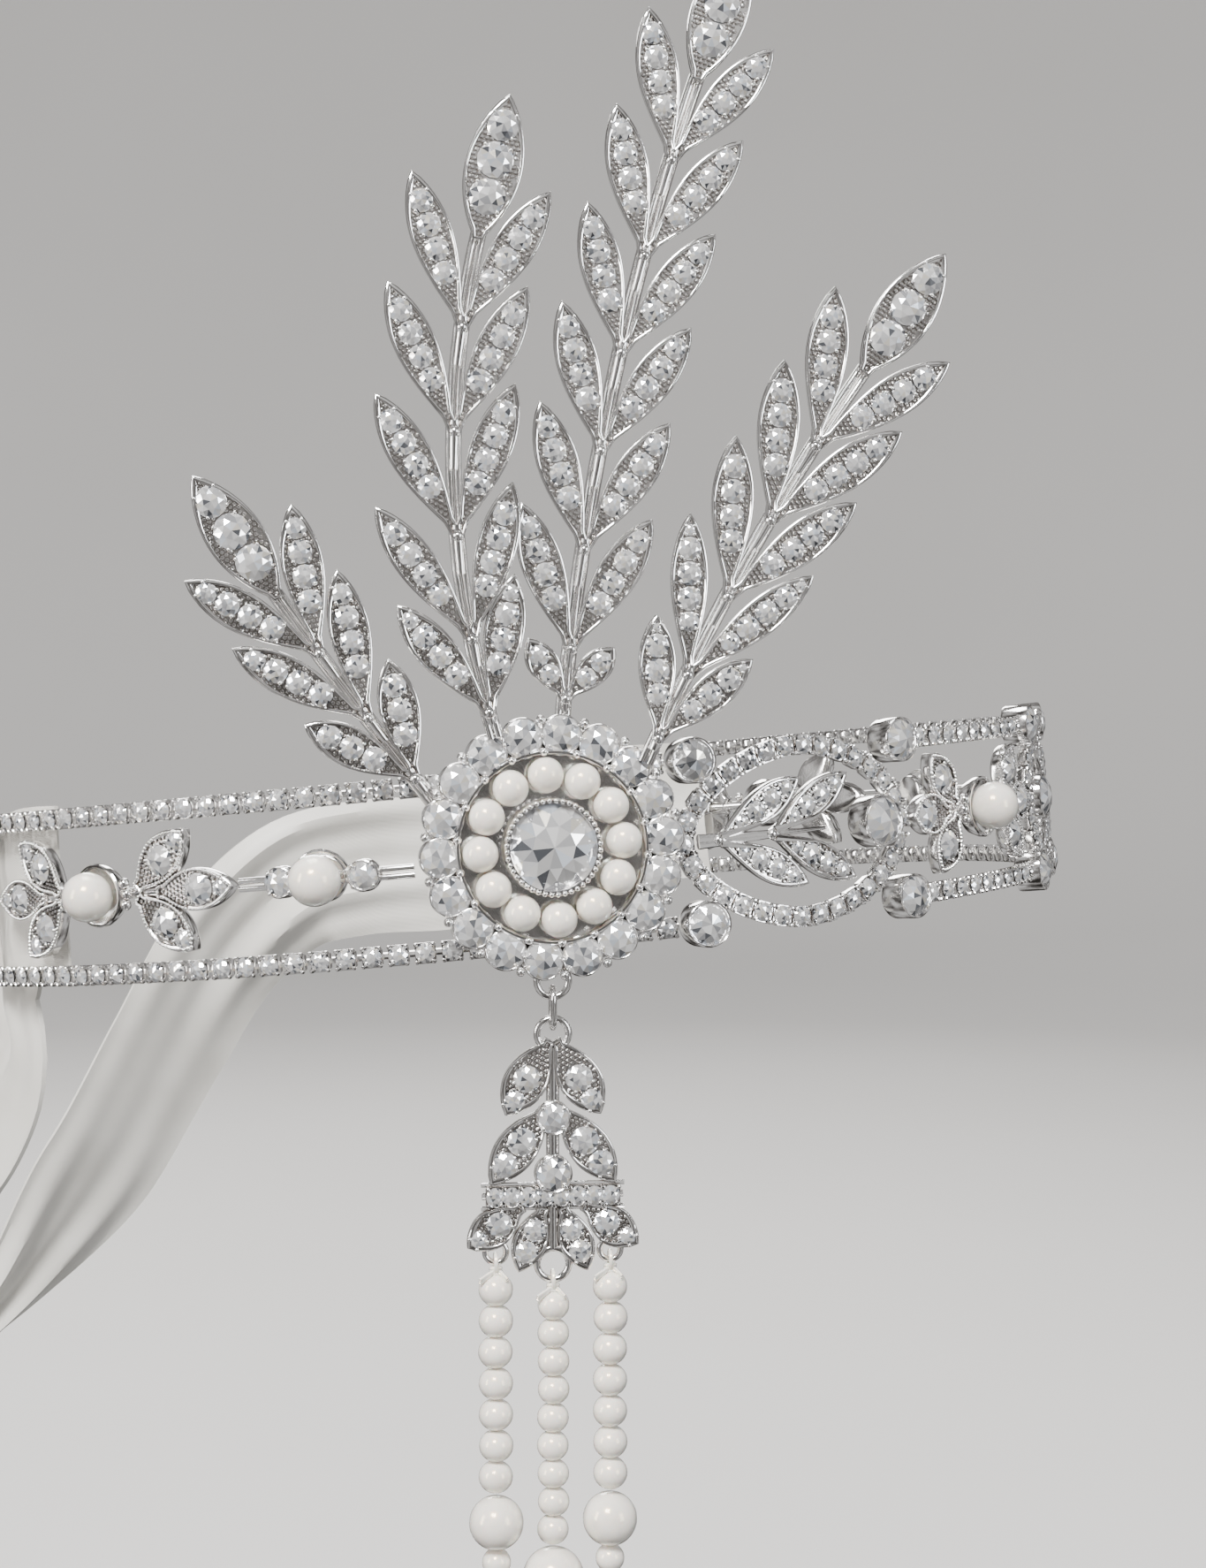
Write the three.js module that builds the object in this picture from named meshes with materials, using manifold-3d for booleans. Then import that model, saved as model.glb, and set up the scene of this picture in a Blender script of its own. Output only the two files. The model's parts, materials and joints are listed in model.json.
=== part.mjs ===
// A bridal bandeau tiara, worn round the head with its front raised a little.
// Millimetres. The origin is the middle of the band's circle, +Z up, -Y the wearer's
// front and -X the wearer's right, where the rosette, its leaf sprays and its tassel are.
import * as THREE from 'three';
import { mergeVertices } from 'three/addons/utils/BufferGeometryUtils.js';
import Module from 'manifold-3d';

const wasm = await Module();
wasm.setup();

// ---- driving dimensions ----
const HEAD_RADIUS = 75; // the band's middle surface
const BAND_REACH = 145; // from the front centre to each end, along the band
const BAND_TILT = 6.6; // degrees that the front is raised
const RAIL_SPACING = 18.8; // between the middles of the two rails
const RAIL_WIDTH = 2.6;
const RAIL_DEPTH = 2;
const END_POST = 1.6; // width of the upturned ends that join the rails
const GAP = 0.35; // between pieces that touch
const METAL = 1.4; // thickness of the small cast plates

const CORNER_CUP = 5.4; // diameter of the stones' cups beside the ovals
const CUP_DEPTH = 3.6;
const OVAL_LENGTH = 30.8; // between the middles of its chain
const OVAL_HEIGHT = 20;
const OVAL_POWER = 1.8; // 2 is an ellipse, less is more pointed
const OVAL_INNER_CUP = 6.2;
const LUG_WIDTH = 1.6;

const PEARL = 6; // the five single pearls on the band
const DISH_WALL = 0.45; // of the dish round a flower's pearl
const DISH_DEPTH = 2.4;
const DISH_SINK = 2; // from its lip down to its floor
const DISH_LIP = 0.9; // in front of the band's middle surface
const SIDE_CUP = 3.8; // the small cups beside the two side pearls

const ROSETTE_CLEAR = 0.8; // along the band, from the oval's end to its rim
const ROSETTE_RISE = 1.3;
const ROSETTE_RADIUS = 15;
const ROSETTE_LOBES = 18;
const ROSETTE_PLATE = 1.2;
const ROSETTE_DEPTH = 4.2;
const BACK_PAD = 1; // thickness of the flat pad behind it
const RING_PEARL = 4;
const RING_PEARLS = 12;
const RING_PEARL_CIRCLE = 8.1;
const CENTRE_STONE = 10;

const LEAF_WIDTH = 4.4;
const LEAF_THICKNESS = 1.5;
const LEAF_SPLAY = 25.5; // degrees from the stem
const TIP_LEAF_LENGTH = 16.5;
const TIP_LEAF_WIDTH = 6.2;
const STEM_WIDTH = 1.9;
const STEM_DEPTH = 1;
const COLLAR_WIDTH = 1.1; // the foot of a leaf pair, on the front of the stem
const COLLAR_SHARE = 0.36; // of the step from the pair below

// Each spray grows from the rosette's rim. angle is round the rosette from the front, foot
// is outwards from its rim, start and end are the stem's headings, first and pitch are the
// steps between leaf pairs, firstSplay is how far the first pair's leaves open, and layer
// says whether the spray stands behind or in front of its neighbours.
const SPRAYS = [
  { name: 'rear', angle: 148, foot: 2.1, start: 123, end: 120, pairs: 3, first: 8.5,
    pitch: 8.9, top: 7.5, firstLeaf: 13.7, leaf: 16.8, firstSplay: 25.5, layer: 0 },
  { name: 'middle_rear', angle: 110.5, foot: 1.6, start: 100, end: 72, pairs: 5, first: 8.3,
    pitch: 11.5, top: 9.8, firstLeaf: 15.6, leaf: 18, firstSplay: 25.5, layer: 1 },
  { name: 'tall', angle: 79.5, foot: 1.6, start: 79, end: 66, pairs: 7, first: 5.6,
    pitch: 11.2, top: 9.4, firstLeaf: 8, leaf: 17.2, firstSplay: 38, layer: 0 },
  { name: 'front', angle: 41, foot: 1.7, start: 60, end: 50, pairs: 5, first: 7.8,
    pitch: 9.8, top: 9.8, firstLeaf: 13.8, leaf: 18, firstSplay: 25.5, layer: 1 },
];

const WIRE = 0.8; // diameter of the eyelet's and the tassel rings' wire
const EYELET_RADIUS = 1.8;
const LINK_WIRE = 0.7;
const LINK_RADIUS = 1.35;
const LINK_LENGTH = 4.5; // between the middles of its end wires
const TASSEL_RING = 1.8;
const STRAND_PEARL = 3.8;
const STRAND_PITCH = 3.6;
const STRAND_COUNT = 7;
const MIDDLE_PEARL = 3.5;
const MIDDLE_PITCH = 3.25;
const MIDDLE_COUNT = 9;
const DROP_PEARL = 6.2;
const MIDDLE_DROP = 7;
const END_BEAD = 3.3;
const THREAD = 0.7;
const THREAD_LOOP = 1; // radius to the middle of its thread
const THREAD_LOOP_WIRE = 0.5;

const RIBBON_WIDTH = 22;
const RIBBON_THICKNESS = 0.9;
const RIBBON_FLAP = 15; // how far it lies inside the band's end
const GATHER_LENGTH = 24; // over which it narrows towards the knot
const GATHER_SHARE = 0.3; // of its width, at the knot
const KNOT_PLACE = [0, 116, -95];
const KNOT_SIZE = [15, 11, 12];
const TAIL_LENGTH = 115;

// ---- materials ----
const silver = new THREE.MeshStandardMaterial({ color: 0xcfc9c4, roughness: 0.18, metalness: 1 });
const crystal = new THREE.MeshStandardMaterial({ color: 0xe9eef2, roughness: 0.03, metalness: 0 });
const pearl = new THREE.MeshStandardMaterial({ color: 0xf1e6dc, roughness: 0.22, metalness: 0 });
const satin = new THREE.MeshStandardMaterial({ color: 0xe9e6df, roughness: 0.45, metalness: 0 });

// ---- helpers ----
const radians = THREE.MathUtils.degToRad;
const outline = (points) => new THREE.Shape(points.map(([x, y]) => new THREE.Vector2(x, y)));

function moveVertices(geometry, move) {
  const place = geometry.attributes.position;
  const point = new THREE.Vector3();
  for (let i = 0; i < place.count; i += 1) {
    point.fromBufferAttribute(place, i);
    move(point);
    place.setXYZ(i, point.x, point.y, point.z);
  }
  return geometry;
}

function solid(geometry) {
  geometry.deleteAttribute('normal');
  geometry.deleteAttribute('uv');
  const merged = mergeVertices(geometry, 1e-4);
  return new wasm.Manifold(new wasm.Mesh({
    numProp: 3,
    vertProperties: new Float32Array(merged.attributes.position.array),
    triVerts: new Uint32Array(merged.index.array),
  }));
}

function join(geometries) {
  const { vertProperties, triVerts } = geometries
    .map(solid)
    .reduce((whole, piece) => whole.add(piece))
    .getMesh();
  const geometry = new THREE.BufferGeometry();
  geometry.setAttribute('position', new THREE.BufferAttribute(vertProperties, 3));
  geometry.setIndex(new THREE.BufferAttribute(triVerts, 1));
  geometry.computeVertexNormals();
  return geometry;
}

function addPart(parent, name, geometry, material) {
  const mesh = new THREE.Mesh(geometry, material);
  mesh.name = name;
  parent.add(mesh);
  return mesh;
}

const slab = (shape, thickness) => new THREE.ExtrudeGeometry(shape, {
  depth: thickness, bevelEnabled: false, curveSegments: 18,
});
const ball = (diameter, around = 6, down = 4) => (
  new THREE.SphereGeometry(diameter / 2, around, down));
const wireRing = (radius, wire, sides = 5, around = 12) => (
  new THREE.TorusGeometry(radius, wire / 2, sides, around));

// A flat piece is drawn with x towards the wearer's front, y up and z outwards.
// bend lays it on the band's circle, with its x = 0 at arc from the front centre.
function bend(geometry, arc) {
  return moveVertices(geometry, (point) => {
    const angle = (arc - point.x) / HEAD_RADIUS;
    const radius = HEAD_RADIUS + point.z;
    point.set(-radius * Math.sin(angle), -radius * Math.cos(angle), point.y);
  });
}

// The frame of a stiff piece that sits flat against the band's circle.
function seatOnBand(object, arc, rise, outwards) {
  const angle = arc / HEAD_RADIUS;
  const forward = new THREE.Vector3(Math.cos(angle), -Math.sin(angle), 0);
  const up = new THREE.Vector3(0, 0, 1);
  const out = new THREE.Vector3(-Math.sin(angle), -Math.cos(angle), 0);
  object.setRotationFromMatrix(new THREE.Matrix4().makeBasis(forward, up, out));
  object.position.copy(out).multiplyScalar(HEAD_RADIUS + outwards).addScaledVector(up, rise);
  return object;
}

// A leaf is widest at belly of its length, from a narrow foot to a pointed tip.
function leafPlate({ length, width, thickness = METAL, belly = 0.62, foot = 1.2 }) {
  const power = Math.log(0.5) / Math.log(belly);
  const steps = [0.2, 0.42, 0.64, 0.86];
  const half = (t) => Math.max((width / 2) * Math.sin(Math.PI * t ** power), foot / 2);
  const lower = steps.map((t) => [t * length, -half(t)]);
  const upper = steps.map((t) => [t * length, half(t)]).reverse();
  const edge = [[0, -foot / 2], ...lower, [length, 0], ...upper, [0, foot / 2]];
  return slab(outline(edge), thickness).translate(0, 0, -thickness / 2);
}

function leafAt(options, x, y, heading) {
  return leafPlate(options).rotateZ(radians(heading)).translate(x, y, 0);
}

// A leaf from its foot to its tip.
function leafBetween(options, [footX, footY], [tipX, tipY]) {
  const length = Math.hypot(tipX - footX, tipY - footY);
  const heading = THREE.MathUtils.radToDeg(Math.atan2(tipY - footY, tipX - footX));
  return leafAt({ ...options, length }, footX, footY, heading);
}

// A stone's cup: a round wall and floor, its open mouth outwards.
function cup(diameter, depth, sink = depth * 0.25, sides = 8) {
  const radius = diameter / 2;
  const wall = DISH_WALL;
  const profile = [[0, 0], [radius, 0], [radius, depth], [radius - wall, depth],
    [radius - wall, depth - sink], [0, depth - sink]];
  const points = profile.map(([x, y]) => new THREE.Vector2(x, y));
  return new THREE.LatheGeometry(points, sides).rotateX(Math.PI / 2);
}

// A straight bar along x, with enough steps to bend.
function bar(length, height, depth, step = 4) {
  const steps = Math.max(1, Math.round(length / step));
  return new THREE.BoxGeometry(length, height, depth, steps, 1, 1);
}

// A short arm from one point to another, which holds two pieces of a casting together.
function lug([fromX, fromY], [toX, toY]) {
  const length = Math.hypot(toX - fromX, toY - fromY);
  return new THREE.BoxGeometry(length, LUG_WIDTH, METAL)
    .rotateZ(Math.atan2(toY - fromY, toX - fromX))
    .translate((fromX + toX) / 2, (fromY + toY) / 2, 0);
}

// ---- the band ----
const tiara = new THREE.Group();
const band = new THREE.Group();
band.rotation.x = -radians(BAND_TILT);
tiara.add(band);

const ovalFront = 17;
const ovalMiddle = ovalFront + OVAL_LENGTH / 2;
const ovalBack = ovalFront + OVAL_LENGTH;
const cornerRise = RAIL_SPACING / 2;
const cornerFront = ovalFront;
const cornerBack = ovalBack - 1.6;
const railStart = cornerBack + CORNER_CUP / 2 + GAP;
const rosettePlace = ovalBack + ROSETTE_CLEAR + ROSETTE_RADIUS;
const sides = [['right', 1], ['left', -1]];
const levels = [['upper', 1], ['lower', -1]];

function addRails() {
  for (const [level, up] of levels) {
    const frontLength = 2 * (cornerFront - CORNER_CUP / 2 - GAP);
    const front = bend(bar(frontLength, RAIL_WIDTH, RAIL_DEPTH)
      .translate(0, up * cornerRise, 0), 0);
    addPart(band, `${level}_rail_front`, front, silver);
    for (const [side, way] of sides) {
      const length = BAND_REACH - railStart;
      const middle = way * (railStart + length / 2);
      const pieces = [bend(bar(length, RAIL_WIDTH, RAIL_DEPTH)
        .translate(0, up * cornerRise, 0), middle)];
      if (level === 'lower') {
        // its end turns up to the upper rail, and closes the frame for the ribbon
        const postHeight = RAIL_SPACING - GAP;
        const post = new THREE.BoxGeometry(END_POST, postHeight, RAIL_DEPTH);
        post.translate(0, (postHeight - RAIL_SPACING - RAIL_WIDTH) / 2, 0);
        pieces.push(bend(post, way * (BAND_REACH - END_POST / 2)));
      }
      addPart(band, `${level}_rail_${side}`, join(pieces), silver);
    }
  }
}

// The oval of stones is a ring of square wire, drawn out to the oval's outline.
function ovalChain() {
  const around = 36;
  const root2 = Math.SQRT2;
  const ring = new THREE.TorusGeometry(10, 1, 4, around);
  return moveVertices(ring.rotateZ(Math.PI / around), (point) => {
    const angle = Math.atan2(point.y, point.x);
    const inPlane = Math.hypot(point.x, point.y) - 10;
    const turned = [(inPlane - point.z) / root2, (inPlane + point.z) / root2];
    const cosine = Math.cos(angle);
    const sine = Math.sin(angle);
    const x = (OVAL_LENGTH / 2) * Math.sign(cosine) * Math.abs(cosine) ** (2 / OVAL_POWER);
    const y = (OVAL_HEIGHT / 2) * Math.sign(sine) * Math.abs(sine) ** (2 / OVAL_POWER);
    const normalX = cosine / OVAL_LENGTH;
    const normalY = sine / OVAL_HEIGHT;
    const size = Math.hypot(normalX, normalY);
    const offset = turned[0] * (RAIL_WIDTH / root2);
    point.set(x + offset * (normalX / size), y + offset * (normalY / size),
      turned[1] * (RAIL_DEPTH / root2));
  });
}

function addOvals() {
  for (const [side, way] of sides) {
    const pieces = [ovalChain()];
    for (const [, up] of levels) {
      for (const arc of [cornerFront, cornerBack]) {
        const x = way * (ovalMiddle - arc);
        const y = up * cornerRise;
        const reach = Math.abs((2 * x) / OVAL_LENGTH) ** OVAL_POWER
          + Math.abs((2 * y) / OVAL_HEIGHT) ** OVAL_POWER;
        const onChain = reach ** (-1 / OVAL_POWER);
        pieces.push(cup(CORNER_CUP, CUP_DEPTH).translate(x, y, -CUP_DEPTH / 2));
        pieces.push(lug([x, y], [x * onChain, y * onChain]));
      }
    }
    const innerX = OVAL_LENGTH / 2 - (OVAL_INNER_CUP + RAIL_WIDTH) / 2 + 0.3;
    pieces.push(cup(OVAL_INNER_CUP, CUP_DEPTH).translate(way * innerX, 0, -CUP_DEPTH / 2));
    const bent = pieces.map((piece) => bend(piece, way * ovalMiddle));
    addPart(band, `oval_frame_${side}`, join(bent), silver);
  }
}

// Two pairs of leaves on a stem, pointing to the front inside each oval.
function addSprigs() {
  const plate = { length: 13, width: 3.4, thickness: METAL, foot: 1 };
  const splay = 28.5;
  const stemLength = 15;
  for (const [side, way] of sides) {
    const foot = ovalBack - RAIL_WIDTH / 2 - GAP;
    const tow = (x) => way * x; // towards the front on either side
    const stem = bar(stemLength, 1.1, METAL).translate(tow(stemLength / 2), 0, 0);
    const pieces = [bend(stem, way * foot)];
    for (const start of [2.4, 9.4]) {
      for (const [, up] of levels) {
        const heading = way > 0 ? up * splay : 180 - up * splay;
        pieces.push(bend(leafAt(plate, tow(start), 0, heading), way * foot));
      }
    }
    addPart(band, `sprig_${side}`, join(pieces), silver);
  }
}

const dishRadius = PEARL / 2 + GAP + DISH_WALL;
const clusterPlace = dishRadius + 1.6;
const junction = clusterPlace + 1; // where a flower's leaves meet

// A flower is a pearl's dish between two trios of leaves.
function flower({ sideLeaf, sideSplay, midLeaf, midStart }) {
  const wide = { width: 4.8, belly: 0.56, foot: 1.6, thickness: METAL + 0.4 };
  const pieces = [cup(2 * dishRadius, DISH_DEPTH, DISH_SINK, 12)
    .translate(0, 0, DISH_LIP - DISH_DEPTH)];
  const armStart = dishRadius - DISH_WALL / 2;
  const armLength = junction + 1 - armStart;
  for (const [, way] of sides) {
    const turn = (heading) => (way > 0 ? heading : 180 - heading);
    pieces.push(bar(armLength, 1.6, METAL - 0.2)
      .translate(way * (armStart + armLength / 2), 0, 0));
    for (const up of [-1, 0, 1]) {
      pieces.push(ball(1.6, 5, 3).translate(way * clusterPlace, up * 1.3, 0.5));
    }
    for (const [, up] of levels) {
      pieces.push(leafAt({ ...wide, length: sideLeaf }, way * junction, up * 0.5,
        turn(up * sideSplay)));
    }
    const start = junction + midStart;
    pieces.push(leafAt({ ...wide, length: midLeaf }, way * start, 0, turn(0)));
    pieces.push(bar(midStart + 1.4, 1.4, METAL - 0.2)
      .translate(way * (junction + midStart / 2), 0, 0));
  }
  return pieces;
}

const flowerLeaves = { sideLeaf: 9.9, sideSplay: 41, midLeaf: 10.5, midStart: 3 };
const flowerReach = junction + flowerLeaves.midStart + flowerLeaves.midLeaf;
const flowerPlace = 120.3;

// A pearl sits just above a floor that is at height from the band's middle surface.
function addPearl(name, arc, floor) {
  const gem = addPart(band, name, ball(PEARL, 12, 8).rotateX(Math.PI / 2), pearl);
  seatOnBand(gem, arc, 0, floor + GAP + PEARL / 2);
}

function addFlowers() {
  const dishFloor = DISH_LIP - DISH_SINK;
  const spots = [['right_flower', flowerPlace], ['left_flower', -flowerPlace]];
  for (const [name, arc] of spots) {
    const pieces = flower(flowerLeaves).map((piece) => bend(piece, arc));
    addPart(band, name, join(pieces), silver);
    addPearl(`${name}_pearl`, arc, dishFloor);
  }
  const room = ovalFront - RAIL_WIDTH / 2 - GAP - junction;
  const midLeaf = 7.4;
  const small = { sideLeaf: 8.1, sideSplay: 57, midLeaf, midStart: room - midLeaf };
  const front = flower(small).map((piece) => bend(piece, 0));
  addPart(band, 'front_flower', join(front), silver);
  addPearl('front_flower_pearl', 0, dishFloor);
}

// Between the rosette and each flower: double wire, small cup, pearl, small cup, wire.
function addSidePearls() {
  const from = { right: rosettePlace + ROSETTE_RADIUS + GAP, left: ovalBack + RAIL_WIDTH / 2 + GAP };
  const to = flowerPlace - flowerReach - GAP;
  const middle = (from.right + to) / 2;
  for (const [side, way] of sides) {
    const step = PEARL / 2 + SIDE_CUP / 2;
    const wires = [-0.45, 0.45].map((rise) => (
      bend(bar(to - from[side], 0.7, 0.7).translate(0, rise, 0), way * (from[side] + to) / 2)));
    const backingDepth = 0.6;
    const backing = bend(bar(2 * step, 1.5, backingDepth, 3), way * middle);
    const cups = [-step, step].map((shift) => (
      bend(cup(SIDE_CUP, 2.8).translate(0, 0, -1.4), way * (middle + shift))));
    addPart(band, `side_wire_${side}`, join([backing, ...wires, ...cups]), silver);
    addPearl(`side_pearl_${side}`, way * middle, backingDepth / 2);
  }
}

// ---- the rosette ----
const rosette = seatOnBand(new THREE.Group(), rosettePlace, ROSETTE_RISE,
  RAIL_DEPTH / 2 + GAP);
band.add(rosette);
tiara.updateMatrixWorld(true);

// Down the rosette's face, so that the tassel hangs plumb under its middle.
const plumb = new THREE.Vector3(0, 0, -1)
  .transformDirection(new THREE.Matrix4().copy(rosette.matrixWorld).invert())
  .setZ(0)
  .normalize();
const eyeletReach = ROSETTE_RADIUS + EYELET_RADIUS;
const eyeletDepth = ROSETTE_DEPTH / 2;

function lobedOutline() {
  const perLobe = 4;
  const count = ROSETTE_LOBES * perLobe;
  const points = [];
  for (let i = 0; i < count; i += 1) {
    const angle = (2 * Math.PI * i) / count;
    const bulge = Math.abs(Math.sin((angle * ROSETTE_LOBES) / 2));
    const radius = ROSETTE_RADIUS - 0.7 + 0.7 * bulge;
    points.push([radius * Math.cos(angle), radius * Math.sin(angle)]);
  }
  return outline(points);
}

function addRosette() {
  const wall = lobedOutline();
  const innerRadius = RING_PEARL_CIRCLE + RING_PEARL / 2 + 0.3;
  wall.holes.push(new THREE.Path().absarc(0, 0, innerRadius, 0, 2 * Math.PI, true));
  const eyelet = wireRing(EYELET_RADIUS, WIRE)
    .translate(ROSETTE_RADIUS * plumb.x, ROSETTE_RADIUS * plumb.y, eyeletDepth);
  // the pad lies between the rails, so that something flat can be fastened behind it
  const padRadius = (RAIL_SPACING - RAIL_WIDTH) / 2 - ROSETTE_RISE - 0.8;
  const pad = new THREE.CylinderGeometry(padRadius, padRadius, 2 * BACK_PAD, 24)
    .rotateX(Math.PI / 2);
  const frame = join([slab(lobedOutline(), ROSETTE_PLATE), slab(wall, ROSETTE_DEPTH), pad,
    eyelet]);
  addPart(rosette, 'rosette_frame', frame, silver);

  const floor = ROSETTE_PLATE + GAP;
  const pearls = [wireRing(RING_PEARL_CIRCLE, 1, 4, 24)];
  for (let i = 0; i < RING_PEARLS; i += 1) {
    pearls.push(ball(RING_PEARL).translate(RING_PEARL_CIRCLE, 0, 0)
      .rotateZ((2 * Math.PI * i) / RING_PEARLS));
  }
  const ring = addPart(rosette, 'rosette_pearl_ring', join(pearls), pearl);
  ring.position.z = floor + RING_PEARL / 2;

  const bezelWall = 0.5;
  const bezelDepth = 3.6;
  const bezel = [[0, 0], [CENTRE_STONE / 2 + bezelWall, 0], [CENTRE_STONE / 2 + bezelWall,
    bezelDepth], [CENTRE_STONE / 2, bezelDepth], [CENTRE_STONE / 2, 1.4], [0, 0.9]];
  const bezelGeometry = new THREE.LatheGeometry(bezel.map(([x, y]) => new THREE.Vector2(x, y)),
    24).rotateX(Math.PI / 2);
  addPart(rosette, 'rosette_centre_bezel', bezelGeometry, silver).position.z = floor;

  const girdle = CENTRE_STONE / 2 - GAP;
  const cut = [[0, 0], [girdle, 1.5], [girdle, 2], [girdle * 0.62, 3.1], [0, 3.1]];
  const stone = new THREE.LatheGeometry(cut.map(([x, y]) => new THREE.Vector2(x, y)), 16)
    .rotateX(Math.PI / 2);
  addPart(rosette, 'rosette_centre_stone', stone, crystal).position.z = floor + 1.3 + GAP;
}

// ---- the leaf sprays ----
function stemCurve(spray) {
  const length = spray.first + (spray.pairs - 2) * spray.pitch + spray.top;
  const rate = radians(spray.end - spray.start) / length;
  const reach = ROSETTE_RADIUS + spray.foot;
  const footX = reach * Math.cos(radians(spray.angle));
  const footY = reach * Math.sin(radians(spray.angle));
  const at = (distance) => {
    const from = radians(spray.start);
    const heading = from + rate * distance;
    return {
      x: footX + (Math.sin(heading) - Math.sin(from)) / rate,
      y: footY - (Math.cos(heading) - Math.cos(from)) / rate,
      heading,
    };
  };
  return { length, at };
}

function addSpray(spray) {
  const holder = new THREE.Group();
  const layerStep = LEAF_THICKNESS + GAP;
  holder.position.z = ROSETTE_PLATE + GAP + STEM_DEPTH + spray.layer * (layerStep + STEM_DEPTH);
  rosette.add(holder);
  const { length, at } = stemCurve(spray);
  const { x: tipX, y: tipY, heading: tipHeading } = at(length);
  const rimGap = spray.foot - GAP;

  // z = 0 is between the stem, behind, and the leaves, in front
  const steps = Math.round(length / 5);
  const stem = moveVertices(new THREE.BoxGeometry(1, STEM_WIDTH, STEM_DEPTH, steps), (point) => {
    const along = (point.x + 0.5) * (length + rimGap + 1) - rimGap;
    const { x, y, heading } = at(along);
    point.set(x - point.y * Math.sin(heading), y + point.y * Math.cos(heading),
      point.z - STEM_DEPTH / 2 - GAP / 2);
  });
  const tipThickness = LEAF_THICKNESS + GAP + 0.4;
  const tipLeaf = leafAt({ length: TIP_LEAF_LENGTH, width: TIP_LEAF_WIDTH,
    thickness: tipThickness, belly: 0.5 }, tipX, tipY, THREE.MathUtils.radToDeg(tipHeading))
    .translate(0, 0, tipThickness / 2 - GAP / 2 - 0.4);
  addPart(holder, `${spray.name}_spray_stem`, join([stem, tipLeaf]), silver);

  for (let i = 0; i < spray.pairs; i += 1) {
    const isFirst = i === 0;
    const { x, y, heading } = at(isFirst ? 0 : spray.first + (i - 1) * spray.pitch);
    const stepBelow = i === 1 ? spray.first : spray.pitch;
    const collar = isFirst ? rimGap : stepBelow * COLLAR_SHARE;
    const leafLength = isFirst ? spray.firstLeaf : spray.leaf;
    const splay = isFirst ? spray.firstSplay : LEAF_SPLAY;
    // leaves on one side that lie beside each other don't touch
    const firstReach = spray.firstLeaf * Math.cos(radians(spray.firstSplay));
    const isBesideFirst = i < 2 && firstReach > 1.3 * spray.first;
    const nearestStep = isBesideFirst ? spray.first : spray.pitch;
    const room = 1.3 * (nearestStep * Math.sin(radians(splay)) - GAP);
    const width = Math.min(LEAF_WIDTH, leafLength * 0.42, room);
    const leaf = { length: leafLength, width, thickness: LEAF_THICKNESS, foot: COLLAR_WIDTH };
    const pieces = [new THREE.BoxGeometry(collar + 1, COLLAR_WIDTH, LEAF_THICKNESS)
      .translate((1 - collar) / 2, 0, 0).rotateZ(heading).translate(x, y, 0)];
    for (const side of [-1, 1]) {
      pieces.push(leafAt(leaf, x, y, THREE.MathUtils.radToDeg(heading) + side * splay));
    }
    const pair = join(pieces).translate(0, 0, (LEAF_THICKNESS + GAP) / 2);
    addPart(holder, `${spray.name}_spray_leaves_${i + 1}`, pair, silver);
  }
}

// ---- the tassel ----
// Its own frame has x level along the rosette's face, y up and z outwards, and its
// origin is the middle of the eyelet's wire, where the link hangs.
const tassel = new THREE.Group();
const hangPoint = new THREE.Vector3(eyeletReach * plumb.x, eyeletReach * plumb.y, eyeletDepth)
  .applyMatrix4(rosette.matrixWorld);
const faceOut = new THREE.Vector3(0, 0, 1).transformDirection(rosette.matrixWorld);
const plumbUp = new THREE.Vector3(0, 0, 1);
const level = new THREE.Vector3().crossVectors(plumbUp, faceOut).normalize();
const levelOut = new THREE.Vector3().crossVectors(level, plumbUp);
tassel.setRotationFromMatrix(new THREE.Matrix4().makeBasis(level, plumbUp, levelOut));
tassel.position.copy(hangPoint);
tiara.add(tassel);

const linkTop = (WIRE + LINK_WIRE) / 2 + 0.3;
const linkBottom = linkTop - LINK_LENGTH;
const ringMiddle = linkBottom + (WIRE + LINK_WIRE) / 2 + 0.3 - TASSEL_RING;
const bodyTop = ringMiddle - TASSEL_RING;

function addLink() {
  const stretch = LINK_LENGTH / 2 - LINK_RADIUS;
  const around = 16;
  const ring = wireRing(LINK_RADIUS, LINK_WIRE, 5, around).rotateZ(Math.PI / around);
  moveVertices(ring.rotateY(Math.PI / 2), (point) => {
    point.y += Math.sign(point.y) * stretch + (linkTop + linkBottom) / 2;
  });
  addPart(tassel, 'tassel_link', ring, silver);
}

// Everything on the body is measured down from bodyTop.
const barDrop = 16.6;
const barHeight = 3.1;
const skirtDrop = barDrop + barHeight / 2 - 0.4;
const sideRing = { x: 6.5, drop: 22.9, radius: 1.2, wire: 0.7 };
const middleRing = { x: 0, drop: 24.4, radius: 1.8, wire: WIRE };

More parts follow.
